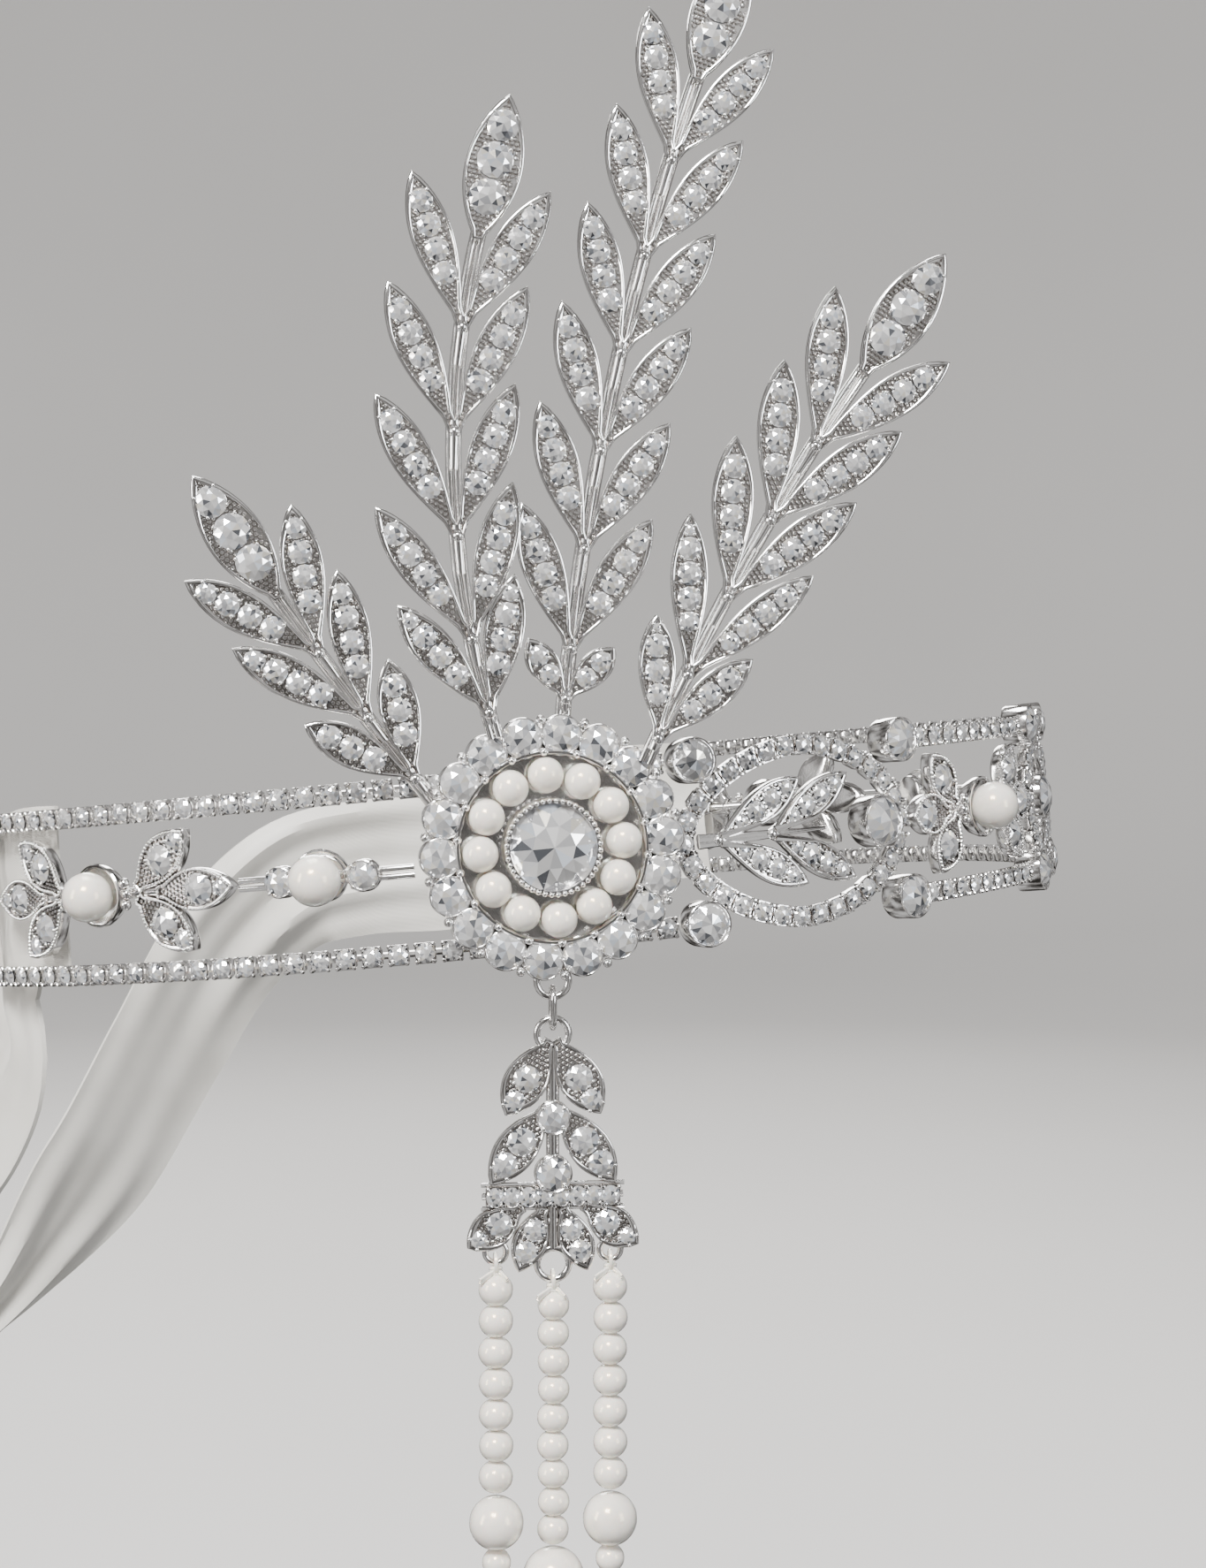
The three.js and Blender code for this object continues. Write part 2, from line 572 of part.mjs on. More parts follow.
function addTasselBody() {
  const plate = (width) => ({ width, thickness: METAL, belly: 0.55, foot: 1.4 });
  const column = new THREE.BoxGeometry(1.7, 22.4, METAL).translate(0, -11.2, 0);
  const crossbar = new THREE.BoxGeometry(16.2, barHeight, METAL).translate(0, -barDrop, 0);
  const pieces = [column, crossbar];
  for (const [, way] of sides) {
    pieces.push(leafBetween(plate(4.6), [way * 0.3, 0.8], [way * 5.4, -7.3]));
    pieces.push(leafBetween(plate(4.4), [way * 0.6, -6.6], [way * 7.1, -15.1]));
    pieces.push(leafBetween(plate(4.3), [way * 3.4, -skirtDrop], [way * 9.7, -22.3]));
    pieces.push(leafBetween(plate(3.8), [way * 1, -skirtDrop], [way * 4, -25.2]));
    pieces.push(wireRing(sideRing.radius, sideRing.wire, 5, 10)
      .translate(way * sideRing.x, -sideRing.drop, 0));
  }
  for (const drop of [7.5, 14]) {
    pieces.push(new THREE.CylinderGeometry(2, 2, METAL, 8).rotateX(Math.PI / 2)
      .translate(0, -drop, 0));
  }
  pieces.push(wireRing(middleRing.radius, middleRing.wire)
    .translate(middleRing.x, -middleRing.drop, 0));
  const hung = pieces.map((piece) => piece.translate(0, bodyTop, 0));
  hung.push(wireRing(TASSEL_RING, WIRE).translate(0, ringMiddle, 0));
  addPart(tassel, 'tassel_body', join(hung), silver);
}

// A strand hangs by a loop of thread round the bottom of its ring.
function addStrand(name, ring, way, { size, pitch, count, drop }) {
  const strand = new THREE.Group();
  strand.position.set(way * ring.x, bodyTop - ring.drop - ring.radius, 0);
  tassel.add(strand);
  const loop = wireRing(THREAD_LOOP, THREAD_LOOP_WIRE, 4, 10).rotateY(Math.PI / 2);
  const firstPearl = THREAD_LOOP + size / 2 + 0.2;
  const lastPearl = firstPearl + (count - 1) * pitch;
  const profile = [[0, -THREAD_LOOP], [THREAD / 2, -THREAD_LOOP]];
  for (let i = 0; i < count; i += 1) {
    for (const angle of [20, 58, 90, 122, 160].map(radians)) {
      profile.push([(size / 2) * Math.sin(angle),
        (size / 2) * Math.cos(angle) - firstPearl - i * pitch]);
    }
  }
  profile.push([0, -lastPearl - size / 2]);
  const points = profile.map(([x, y]) => new THREE.Vector2(x, y)).reverse();
  const pieces = [loop, new THREE.LatheGeometry(points, 6)];
  addPart(strand, `${name}_strand_pearls`, join(pieces), pearl);
  const dropPlace = lastPearl + size / 2 + GAP + drop / 2;
  const endPlace = dropPlace + drop / 2 + END_BEAD / 2 - 0.15;
  const end = [ball(drop, 12, 8).translate(0, -dropPlace, 0),
    ball(END_BEAD).translate(0, -endPlace, 0)];
  addPart(strand, `${name}_strand_drop`, join(end), pearl);
}

// ---- the ribbons ----
// A strip that lies flat against the head as it follows its route, and gathers towards
// the end that the knot holds.
function strip(route, outOf, { gatherAtEnd }) {
  const curve = new THREE.CatmullRomCurve3(route, false, 'centripetal');
  const steps = Math.round(curve.getLength() / 6);
  const flat = new THREE.BoxGeometry(1, RIBBON_WIDTH, RIBBON_THICKNESS, steps, 1, 1);
  return moveVertices(flat, (point) => {
    const along = THREE.MathUtils.clamp(point.x + 0.5, 0, 1);
    const fromKnot = curve.getLength() * (gatherAtEnd ? 1 - along : along);
    const spread = THREE.MathUtils.clamp(fromKnot / GATHER_LENGTH, GATHER_SHARE, 1);
    const centre = curve.getPointAt(along);
    const tangent = curve.getTangentAt(along);
    const side = outOf(centre).cross(tangent).normalize();
    const normal = new THREE.Vector3().crossVectors(tangent, side);
    centre.addScaledVector(side, point.y * spread).addScaledVector(normal, point.z);
    point.copy(centre);
  });
}

const bandAxis = new THREE.Vector3(0, 0, 1).transformDirection(band.matrixWorld);
const headOutwards = (point) => point.clone().projectOnPlane(bandAxis).normalize();
const backwards = () => new THREE.Vector3(0, 1, 0);

function bandPoint(arc, rise, outwards) {
  const point = seatOnBand(new THREE.Object3D(), arc, rise, outwards).position;
  return point.applyMatrix4(band.matrixWorld);
}

function addRibbons() {
  const behind = -(RAIL_DEPTH / 2 + GAP + RIBBON_THICKNESS / 2 + 0.4);
  const knot = new THREE.Vector3(...KNOT_PLACE);
  const knotGap = KNOT_SIZE[0] / 2 - 1;
  // past the band's end, in steps of [along the band, up] and then of [x, y, z]
  const turns = {
    right: [[-3, -cornerRise * 0.16], [0.5, -cornerRise * 0.58], [2.3, -cornerRise - 2.6],
      [2.3, -cornerRise - 10.6]],
    left: [[0, 0], [7, -2.8]],
  };
  const routes = {
    right: [[-66, 34, -34], [-62, 44, -50], [-52, 62, -66], [-36, 84, -78], [-18, 101, -88]],
    left: [[60, 42, -9.5], [53, 51, -11], [44, 60, -11.5], [36, 68, -14.5], [29.5, 77, -25],
      [24, 85, -41], [18, 94, -60], [10, 105, -79]],
  };
  for (const [side, way] of sides) {
    const flap = [[-RIBBON_FLAP, 0], [-RIBBON_FLAP / 2, 0], ...turns[side]];
    const route = flap.map(([along, rise]) => (
      bandPoint(way * (BAND_REACH + along), rise, behind)));
    route.push(...routes[side].map((place) => new THREE.Vector3(...place)));
    const arrival = route[route.length - 1].clone().sub(knot).setLength(knotGap + GAP);
    route.push(knot.clone().add(arrival));
    addPart(tiara, `ribbon_${side}`, strip(route, headOutwards, { gatherAtEnd: true }), satin);
  }
  const pieces = [ball(1, 12, 8).scale(...KNOT_SIZE).translate(...KNOT_PLACE)];
  for (const way of [-1, 1]) {
    const hang = [[2, 1, -2], [9, 4, -TAIL_LENGTH / 2], [14, 1, -TAIL_LENGTH]];
    const tail = hang.map(([x, y, z]) => new THREE.Vector3(way * x, y + way * 1.2, z).add(knot));
    pieces.push(strip(tail, backwards, { gatherAtEnd: false }));
  }
  addPart(tiara, 'ribbon_knot', join(pieces), satin);
}

addRails();
addOvals();
addSprigs();
addFlowers();
addSidePearls();
addRosette();
SPRAYS.forEach(addSpray);
addLink();
addTasselBody();
const outerStrand = { size: STRAND_PEARL, pitch: STRAND_PITCH, count: STRAND_COUNT,
  drop: DROP_PEARL };
const innerStrand = { size: MIDDLE_PEARL, pitch: MIDDLE_PITCH, count: MIDDLE_COUNT,
  drop: MIDDLE_DROP };
addStrand('rear', sideRing, -1, outerStrand);
addStrand('middle', middleRing, 1, innerStrand);
addStrand('front', sideRing, 1, outerStrand);
addRibbons();

export default tiara;
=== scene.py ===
# The looks of a bridal bandeau tiara: castings set with small stones, pearls and satin ribbon.
# Shapes are drawn in millimetres, in the CAD's frame, and are turned to metres as each piece is made.
import json
import math
import random

import bpy
from mathutils import Matrix, Vector
from mathutils.noise import noise


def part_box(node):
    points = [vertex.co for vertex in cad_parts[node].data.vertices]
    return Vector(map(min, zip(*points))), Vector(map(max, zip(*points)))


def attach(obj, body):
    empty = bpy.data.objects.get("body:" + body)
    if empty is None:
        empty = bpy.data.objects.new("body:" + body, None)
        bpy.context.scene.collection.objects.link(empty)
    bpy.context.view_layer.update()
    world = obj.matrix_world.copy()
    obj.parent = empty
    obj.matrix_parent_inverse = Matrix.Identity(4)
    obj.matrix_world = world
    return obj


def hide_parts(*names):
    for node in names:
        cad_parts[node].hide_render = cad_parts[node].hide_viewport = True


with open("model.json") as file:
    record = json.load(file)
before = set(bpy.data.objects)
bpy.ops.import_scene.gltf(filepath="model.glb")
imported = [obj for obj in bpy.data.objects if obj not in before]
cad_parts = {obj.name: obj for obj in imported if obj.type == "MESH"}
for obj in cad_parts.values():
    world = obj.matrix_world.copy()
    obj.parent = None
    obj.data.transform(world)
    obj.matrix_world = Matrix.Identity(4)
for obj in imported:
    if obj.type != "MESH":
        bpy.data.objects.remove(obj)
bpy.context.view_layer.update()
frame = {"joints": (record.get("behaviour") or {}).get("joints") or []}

MM = 0.001

# ---- sizes shared with the CAD, in millimetres and degrees ----
HEAD_RADIUS = 75
BAND_REACH = 145
BAND_TILT = 6.6
RAIL_SPACING = 18.8
RAIL_WIDTH = 2.6
GAP = 0.35
METAL = 1.4
CORNER_CUP = 5.4
CUP_DEPTH = 3.6
OVAL_FRONT = 17
OVAL_LENGTH = 30.8
OVAL_HEIGHT = 20
OVAL_POWER = 1.8
OVAL_INNER_CUP = 6.2
PEARL = 6
DISH_WALL = 0.45
DISH_DEPTH = 2.4
DISH_LIP = 0.9
SIDE_CUP = 3.8  # the small cups beside the two side pearls
SIDE_PEARL_PLACE = 89.5
FLOWER_PLACE = 120.3
ROSETTE_PLACE = 63.6
ROSETTE_RISE = 1.3
ROSETTE_RADIUS = 15
ROSETTE_LOBES = 18
ROSETTE_PLATE = 1.2
ROSETTE_DEPTH = 4.2
RING_PEARL = 4
RING_PEARLS = 12
RING_PEARL_CIRCLE = 8.1
CENTRE_STONE = 10
LEAF_WIDTH = 4.4
LEAF_THICKNESS = 1.5
LEAF_SPLAY = 25.5
TIP_LEAF_LENGTH = 16.5
TIP_LEAF_WIDTH = 6.2
STEM_DEPTH = 1
COLLAR_SHARE = 0.36
SPRAYS = [
    dict(name="rear", angle=148, foot=17.1, start=123, end=120, pairs=3, first=8.5,
         pitch=8.9, top=7.5, first_leaf=13.7, leaf=16.8, first_splay=25.5, layer=0),
    dict(name="middle_rear", angle=110.5, foot=16.6, start=100, end=72, pairs=5, first=8.3,
         pitch=11.5, top=9.8, first_leaf=15.6, leaf=18, first_splay=25.5, layer=1),
    dict(name="tall", angle=79.5, foot=16.6, start=79, end=66, pairs=7, first=5.6,
         pitch=11.2, top=9.4, first_leaf=8, leaf=17.2, first_splay=38, layer=0),
    dict(name="front", angle=41, foot=16.7, start=60, end=50, pairs=5, first=7.8,
         pitch=9.8, top=9.8, first_leaf=13.8, leaf=18, first_splay=25.5, layer=1),
]
WIRE = 0.8
EYELET_RADIUS = 1.8
TASSEL_RING = 1.8
RIBBON_WIDTH = 22
RIBBON_FLAP = 15
KNOT_PLACE = Vector((0, 116, -95))
TAIL_LENGTH = 115
SIDE_LEAF = 9.9  # the outer leaves of the side flowers
SIDE_SPLAY = 41
MID_LEAF = 10.5
MID_START = 3  # from the junction to the middle leaf
FRONT_SIDE_LEAF = 8.1
FRONT_SIDE_SPLAY = 57
FRONT_MID_LEAF = 7.4
STRAND = dict(size=3.8, pitch=3.6, count=7, drop=6.2)
MIDDLE_STRAND = dict(size=3.5, pitch=3.25, count=9, drop=7)

# ---- sizes of the looks alone ----
RAIL_PITCH = 3.05  # between the middles of the rails' stones
OVAL_PITCH = 2.63
CHAIN_STONE = 2.3
CHAIN_CUP = 2.44  # across one link's square cup
CLAW = 0.62
CLAW_PLACE = 0.98  # from a link's middle, along and across
FLOWER_LEAF_WIDTH = 5
SMALLEST_STONE = 1
STONE_STEP = 0.4  # further up a leaf, when no stone fits yet
GRAIN = 0.56
RIM = 0.36  # the polished edge of a leaf
MILGRAIN = 0.42  # a beaded edge's beads
RIBBON_CLOTH = 0.3
RIBBON_INSIDE = 2.2  # from the band's middle to the ribbon, inwards

DISH_RADIUS = PEARL / 2 + GAP + DISH_WALL
JUNCTION = DISH_RADIUS + 2.6  # where a flower's leaves meet
OVAL_MIDDLE = OVAL_FRONT + OVAL_LENGTH / 2
OVAL_BACK = OVAL_FRONT + OVAL_LENGTH
CORNER_BACK = OVAL_BACK - 1.6
CORNER_RISE = RAIL_SPACING / 2
RAIL_START = CORNER_BACK + CORNER_CUP / 2 + GAP
SIDES = (("right", 1), ("left", -1))
LEVELS = (("upper", 1), ("lower", -1))


# ---- moves: each takes a point and gives it back somewhere else ----
def shift(x=0, y=0, z=0):
    step = Vector((x, y, z))
    return lambda point: point + step


def turn(degrees, axis="Z"):
    matrix = Matrix.Rotation(math.radians(degrees), 3, axis)
    return lambda point: matrix @ point


def stretch(x=1, y=1, z=1):
    return lambda point: Vector((point.x * x, point.y * y, point.z * z))


def heading_to(angle, way):
    """A turn by angle, mirrored where way is -1."""
    return turn(angle if way > 0 else 180 - angle)


def by(matrix):
    return lambda point: matrix @ point


TILT = Matrix.Rotation(-math.radians(BAND_TILT), 4, "X")


def bend(arc):
    """From the flat plane, x to the front, y up and z out, onto the band's circle at arc."""
    def move(point):
        angle = (arc - point.x) / HEAD_RADIUS
        radius = HEAD_RADIUS + point.z
        return TILT @ Vector((-radius * math.sin(angle), -radius * math.cos(angle), point.y))
    return move


def seat_on_band(arc, rise, outwards):
    """The frame of a stiff piece that sits flat against the band's circle."""
    angle = arc / HEAD_RADIUS
    forward = Vector((math.cos(angle), -math.sin(angle), 0))
    out = Vector((-math.sin(angle), -math.cos(angle), 0))
    up = Vector((0, 0, 1))
    place = out * (HEAD_RADIUS + outwards) + up * rise
    return TILT @ Matrix.Translation(place) @ Matrix((forward, up, out)).transposed().to_4x4()


def joint(name):
    return next(j for j in frame["joints"] if j["name"] == name)


def hung_at(name):
    """The tassel's frame at a joint: x level along the rosette, y up and z outwards."""
    out = Vector(joint("tassel_sway")["axis"])
    up = Vector((0, 0, 1))
    level = up.cross(out).normalized()
    basis = Matrix((level, up, out)).transposed().to_4x4()
    return Matrix.Translation(Vector(joint(name)["pos_m"]) / MM) @ basis


ROSETTE = seat_on_band(ROSETTE_PLACE, ROSETTE_RISE, 1 + GAP)
TASSEL = hung_at("link_swing")


# ---- shapes: each is its points and its faces ----
def loft(rings, cap_start=True, cap_end=True, closed=False):
    """A skin over rings of points that all have the same count."""
    count = len(rings[0])
    points = [point for ring in rings for point in ring]
    faces = []
    last = len(rings) - (0 if closed else 1)
    for r in range(last):
        here, there = r * count, (r + 1) % len(rings) * count
        for i in range(count):
            j = (i + 1) % count
            faces.append((here + i, here + j, there + j, there + i))
    if not closed and cap_start:
        faces.append(tuple(reversed(range(count))))
    if not closed and cap_end:
        faces.append(tuple(range(len(points) - count, len(points))))
    return points, faces


def circle(radius, z, sides, start=0.0):
    turns = [start + 2 * math.pi * i / sides for i in range(sides)]
    return [Vector((radius * math.cos(a), radius * math.sin(a), z)) for a in turns]


def lathe(profile, sides=24):
    """Turns a profile of (radius, height), from the bottom up and round to the inside."""
    return loft([circle(max(radius, 0.01), z, sides) for radius, z in profile])


def ball(diameter, around=8, down=5):
    radius = diameter / 2
    angles = [math.pi * (i + 0.5 * (i == 0) - 0.5 * (i == down)) / down for i in range(down + 1)]
    return lathe([(radius * math.sin(a), -radius * math.cos(a)) for a in angles], around)


def smooth_ball(diameter):
    return ball(diameter, 32, 20)


def tube(path, radius, sides=8, closed=False):
    """A round wire along a path of points."""
    path = [Vector(p) for p in path]
    rings = []
    side = None
    for i, point in enumerate(path):
        if closed:
            ahead = path[(i + 1) % len(path)] - path[i - 1]
        else:
            ahead = path[min(i + 1, len(path) - 1)] - path[max(i - 1, 0)]
        ahead.normalize()
        if side is None:
            side = ahead.orthogonal().normalized()
        side = (side - ahead * side.dot(ahead)).normalized()
        other = ahead.cross(side)
        thick = radius(i / (len(path) - 1)) if callable(radius) else radius
        rings.append([point + (side * math.cos(a) + other * math.sin(a)) * thick
                      for a in (2 * math.pi * k / sides for k in range(sides))])
    return loft(rings, closed=closed)


def wire_ring(radius, wire, around=32, sides=10):
    return tube(circle(radius, 0, around), wire / 2, sides, closed=True)


def brilliant(diameter, sides=6):
    """A faceted stone, its widest edge at z = 0 and its table upwards."""
    radius = diameter / 2
    half_step = math.pi / sides
    peak = [Vector((0, 0, 0.42 * radius))]
    table = circle(radius * 0.5, 0.33 * radius, sides)
    star = circle(radius * 0.77, 0.2 * radius, sides, half_step)
    girdle = circle(radius, 0, sides * 2, 0)
    culet = [Vector((0, 0, -0.7 * radius))]
    points = peak + table + star + girdle + culet
    faces = []
    low = 1 + 2 * sides
    for i in range(sides):
        j = (i + 1) % sides
        a, b, s = 1 + i, 1 + j, 1 + sides + i
        g, m, h = low + 2 * i, low + 2 * i + 1, low + (2 * i + 2) % (2 * sides)
        faces += [(0, a, b), (a, s, b), (a, g, s), (s, g, m), (s, m, h), (b, s, h)]
        faces += [(g, len(points) - 1, m), (m, len(points) - 1, h)]
    return points, faces


def square_cup():
    """One link of stone chain: a square cup that narrows to its back."""
    half, corner = CHAIN_CUP / 2, 0.88
    outline = [(half, -corner), (half, corner), (corner, half), (-corner, half),
               (-half, corner), (-half, -corner), (-corner, -half), (corner, -half)]
    steps = [(0.7, -1), (0.9, -0.8), (1, 0.1), (0.97, 0.3), (0.88, 0.3), (0.84, 0.05)]
    rings = [[Vector((x * share, y * share, z)) for x, y in outline] for share, z in steps]
    return loft(rings)


def cup_wall(diameter, depth, lip=0.3, sides=32):
    """A round cup with a thin rolled lip, its floor at z = 0."""
    radius = diameter / 2
    return lathe([(radius * 0.86, 0), (radius * 0.96, 0.15), (radius, 0.5), (radius, depth - 0.2),
                  (radius - 0.06, depth - 0.05), (radius - 0.15, depth), (radius - lip + 0.05, depth - 0.06),
                  (radius - lip, depth - 0.2), (radius - lip, depth - 0.9)], sides)


def leaf_half(leaf, x):
    """Half of a full leaf's width at x, for a leaf of (length, width, belly, foot)."""
    length, width, belly, foot = leaf
    t = min(max(x / length, 0), 1)
    swell = math.sin(math.pi * t ** (math.log(0.5) / math.log(belly)))
    return max(width / 2 * max(swell, 0) ** 0.75, foot / 2 * (1 - t))


def leaf_ring(leaf, inset, z, steps=18):
    """A leaf's outline, drawn in by inset."""
    length = leaf[0]
    start, end = inset, length - 2.2 * inset
    sides = []
    for i in range(steps + 1):
        t = i / steps
        x = length * t
        half = max(leaf_half(leaf, x) - inset, 0.03)
        sides.append((start + (end - start) * t, 0.03 if i == steps else half))
    return ([Vector((x, -half, z)) for x, half in sides]
            + [Vector((x, half, z)) for x, half in reversed(sides)])


def leaf_plate(leaf, thickness, rim=RIM):
    """A leaf with a polished raised rim round a sunk bed for its stones."""
    low, high = -thickness / 2, thickness / 2
    steps = [(0.25, low), (0.05, low + 0.18), (0, low + 0.4), (0, high - 0.2), (0.07, high - 0.04),
             (0.16, high), (rim - 0.1, high), (rim, high - 0.08), (rim + 0.04, high - 0.42)]
    return loft([leaf_ring(leaf, inset, z) for inset, z in steps])


# ---- gathering shapes into pieces ----
class Build:
    """Gathers shapes, in millimetres, that become one mesh."""

    def __init__(self):
        self.points = []
        self.faces = []

    def add(self, shape, *moves):
        points, faces = shape
        for move in moves:
            points = [move(point) for point in points]
        start = len(self.points)
        self.points += points
        self.faces += [tuple(start + i for i in face) for face in faces]

    def move(self, move):
        self.points = [move(point) for point in self.points]

    def piece(self, name, material, slot, body, replaces=(), flat=False):
        mesh = bpy.data.meshes.new(name)
        mesh.from_pydata([point * MM for point in self.points], [], self.faces)
        mesh.materials.append(material)
        mesh.polygons.foreach_set("use_smooth", [not flat] * len(mesh.polygons))
        if flat:
            # For the stones: a random value on each face, which the crystal material paints as a bright or
            # dark reflection.
            shades = random.Random(name)
            facet = mesh.attributes.new("facet", "FLOAT", "FACE")
            facet.data.foreach_set("value", [shades.random() for _ in self.faces])
        else:
            mesh.set_sharp_from_angle(angle=math.radians(38))
        mesh.update()
        item = bpy.data.objects.new(name, mesh)
        bpy.context.scene.collection.objects.link(item)
        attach(item, body)
        if replaces:
            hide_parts(*replaces)
        return item


def set_piece(node, metal, stones, body="band"):
    """The two pieces that stand for a set casting: its metal and its stones."""
    metal.piece(f"{node}_setting", SILVER, "silver", body, replaces=[node])
    if stones.points:
        stones.piece(f"{node}_stones", CRYSTAL, "crystal", body, flat=True)


# ---- materials ----
def new_material(name):
    material = bpy.data.materials.new(name)
    material.use_nodes = True
    tree = material.node_tree
    return material, tree, tree.nodes["Principled BSDF"]


def link_noise(tree, scale, detail=3):
    """Noise over the object's own coordinates, with features 1/scale metres wide."""
    coordinates = tree.nodes.new("ShaderNodeTexCoord")
    texture = tree.nodes.new("ShaderNodeTexNoise")
    texture.inputs["Scale"].default_value = scale
    texture.inputs["Detail"].default_value = detail
    tree.links.new(coordinates.outputs["Object"], texture.inputs["Vector"])
    return texture.outputs["Fac"]


def link_ramp(tree, factor, stops, interpolation="LINEAR"):
    ramp = tree.nodes.new("ShaderNodeValToRGB")
    ramp.color_ramp.interpolation = interpolation
    elements = ramp.color_ramp.elements
    while len(elements) < len(stops):
        elements.new(0.5)
    for element, (place, colour) in zip(elements, stops):
        element.position = place
        element.color = (*colour, 1)
    tree.links.new(factor, ramp.inputs["Fac"])
    return ramp.outputs["Color"]


def link_range(tree, factor, low, high):
    node = tree.nodes.new("ShaderNodeMapRange")
    node.inputs["From Min"].default_value = 0.3
    node.inputs["From Max"].default_value = 0.7
    node.inputs["To Min"].default_value = low
    node.inputs["To Max"].default_value = high
    tree.links.new(factor, node.inputs["Value"])
    return node.outputs["Result"]


def link_bump(tree, shader, height, strength, distance):
    bump = tree.nodes.new("ShaderNodeBump")
    bump.inputs["Strength"].default_value = strength
    bump.inputs["Distance"].default_value = distance
    tree.links.new(height, bump.inputs["Height"])
    tree.links.new(bump.outputs["Normal"], shader.inputs["Normal"])


def silver_material():
    """Bright rhodium plate with fine polishing marks, and painted shade: ambient occlusion turns its colour
    darker and browner in its hollows.
    """
    material, tree, shader = new_material("silver")
    shader.inputs["Metallic"].default_value = 1
    # Painted shade: where ambient occlusion finds a hollow, the plate's colour turns dark brownish grey.
    occlusion = tree.nodes.new("ShaderNodeAmbientOcclusion")
    occlusion.samples = 6
    occlusion.inputs["Distance"].default_value = 0.0006
    colour = link_ramp(tree, occlusion.outputs["AO"], [
        (0.05, (0.40, 0.36, 0.335)), (0.3, (0.77, 0.74, 0.715)), (0.6, (0.96, 0.95, 0.94))])
    tree.links.new(colour, shader.inputs["Base Color"])
    marks = link_noise(tree, 2400)
    tree.links.new(link_range(tree, link_noise(tree, 260), 0.06, 0.2), shader.inputs["Roughness"])
    link_bump(tree, shader, marks, 0.25, 0.00004)
    return material


def crystal_material():
    """Foiled glass that mirrors the room, with painted reflections: each face of the stone gets a random
    painted brightness, so most facets are bright white, bluish or warm, and a few hardly reflect at all.
    """
    material, tree, shader = new_material("crystal")
    # Painted reflections: a random value on each face of the stone picks its brightness, standing in for the
    # light inside the stone.
    facet = tree.nodes.new("ShaderNodeAttribute")
    facet.attribute_name = "facet"
    colour = link_ramp(tree, facet.outputs["Fac"], [
        (0.0, (0.16, 0.17, 0.19)), (0.07, (0.55, 0.56, 0.59)), (0.17, (0.84, 0.85, 0.87)),
        (0.34, (1.0, 1.0, 1.0)), (0.84, (0.84, 0.91, 1.0)), (0.92, (1.0, 0.96, 0.86))], "CONSTANT")
    tree.links.new(colour, shader.inputs["Base Color"])
    shader.inputs["Metallic"].default_value = 0.7
    shader.inputs["Roughness"].default_value = 0.09
    shader.inputs["IOR"].default_value = 1.9
    shader.inputs["Coat Weight"].default_value = 0.8
    shader.inputs["Coat Roughness"].default_value = 0.02
    return material


def pearl_material():
    """Ivory lustre in thin layers: a clear gloss over a soft, faintly uneven body."""
    material, tree, shader = new_material("pearl")
    colour = link_ramp(tree, link_noise(tree, 330, 2), [
        (0.3, (0.80, 0.75, 0.68)), (0.5, (0.86, 0.82, 0.755)), (0.7, (0.85, 0.795, 0.74))])
    tree.links.new(colour, shader.inputs["Base Color"])
    tree.links.new(link_range(tree, link_noise(tree, 900), 0.2, 0.3), shader.inputs["Roughness"])
    shader.inputs["Subsurface Weight"].default_value = 0.1
    shader.inputs["Subsurface Scale"].default_value = 0.001
    shader.inputs["Specular IOR Level"].default_value = 0.8
    shader.inputs["Coat Weight"].default_value = 1
    shader.inputs["Coat Roughness"].default_value = 0.13
    shader.inputs["Thin Film Thickness"].default_value = 240
    shader.inputs["Thin Film IOR"].default_value = 1.4
    link_bump(tree, shader, link_noise(tree, 1500), 0.08, 0.00004)
    return material


def satin_material():
    """Off-white satin: fine warp threads along the ribbon, and a soft sheen."""
    material, tree, shader = new_material("satin")
    coordinates = tree.nodes.new("ShaderNodeTexCoord")
    warp = tree.nodes.new("ShaderNodeTexWave")
    warp.bands_direction = "X"
    warp.inputs["Scale"].default_value = 38
    warp.inputs["Distortion"].default_value = 0.6
    tree.links.new(coordinates.outputs["UV"], warp.inputs["Vector"])
    colour = link_ramp(tree, link_noise(tree, 60), [
        (0.35, (0.60, 0.585, 0.545)), (0.65, (0.70, 0.685, 0.645))])
    tree.links.new(colour, shader.inputs["Base Color"])
    tree.links.new(link_range(tree, link_noise(tree, 140), 0.36, 0.5), shader.inputs["Roughness"])
    shader.inputs["Sheen Weight"].default_value = 0.35
    shader.inputs["Sheen Roughness"].default_value = 0.4
    link_bump(tree, shader, warp.outputs["Fac"], 0.35, 0.00006)
    return material


SILVER = silver_material()
CRYSTAL = crystal_material()
PEARLY = pearl_material()
SATIN = satin_material()


# ---- settings that repeat ----
def add_chain(metal, stones, places):
    """Stone chain through places, each (middle x, middle y, heading), in the flat plane."""
    for x, y, heading in places:
        seat = [turn(heading), shift(x, y)]
        metal.add(square_cup(), *seat)
        metal.add(tube([(-1.6, 0, -0.5), (1.6, 0, -0.5)], 0.4, 6), *seat)
        stones.add(brilliant(CHAIN_STONE, 8), shift(z=0.42), *seat)
        for cx in (-1, 1):
            for cy in (-1, 1):
                corner = shift(cx * CLAW_PLACE, cy * CLAW_PLACE, 0.42)
                metal.add(ball(CLAW, 6, 4), stretch(z=1.7), corner, *seat)


def chain_along(length, pitch):
    count = max(1, round(length / pitch))
    step = length / count
    return [((i + 0.5) * step - length / 2, 0, 0) for i in range(count)]


def add_bezel_stone(metal, stones, diameter, depth, *moves):
    """A round cup with its stone set flush inside a thin smooth lip."""
    metal.add(cup_wall(diameter, depth), *moves)
    stones.add(brilliant(diameter - 0.55, 10), turn(9), shift(z=depth - 0.3), *moves)


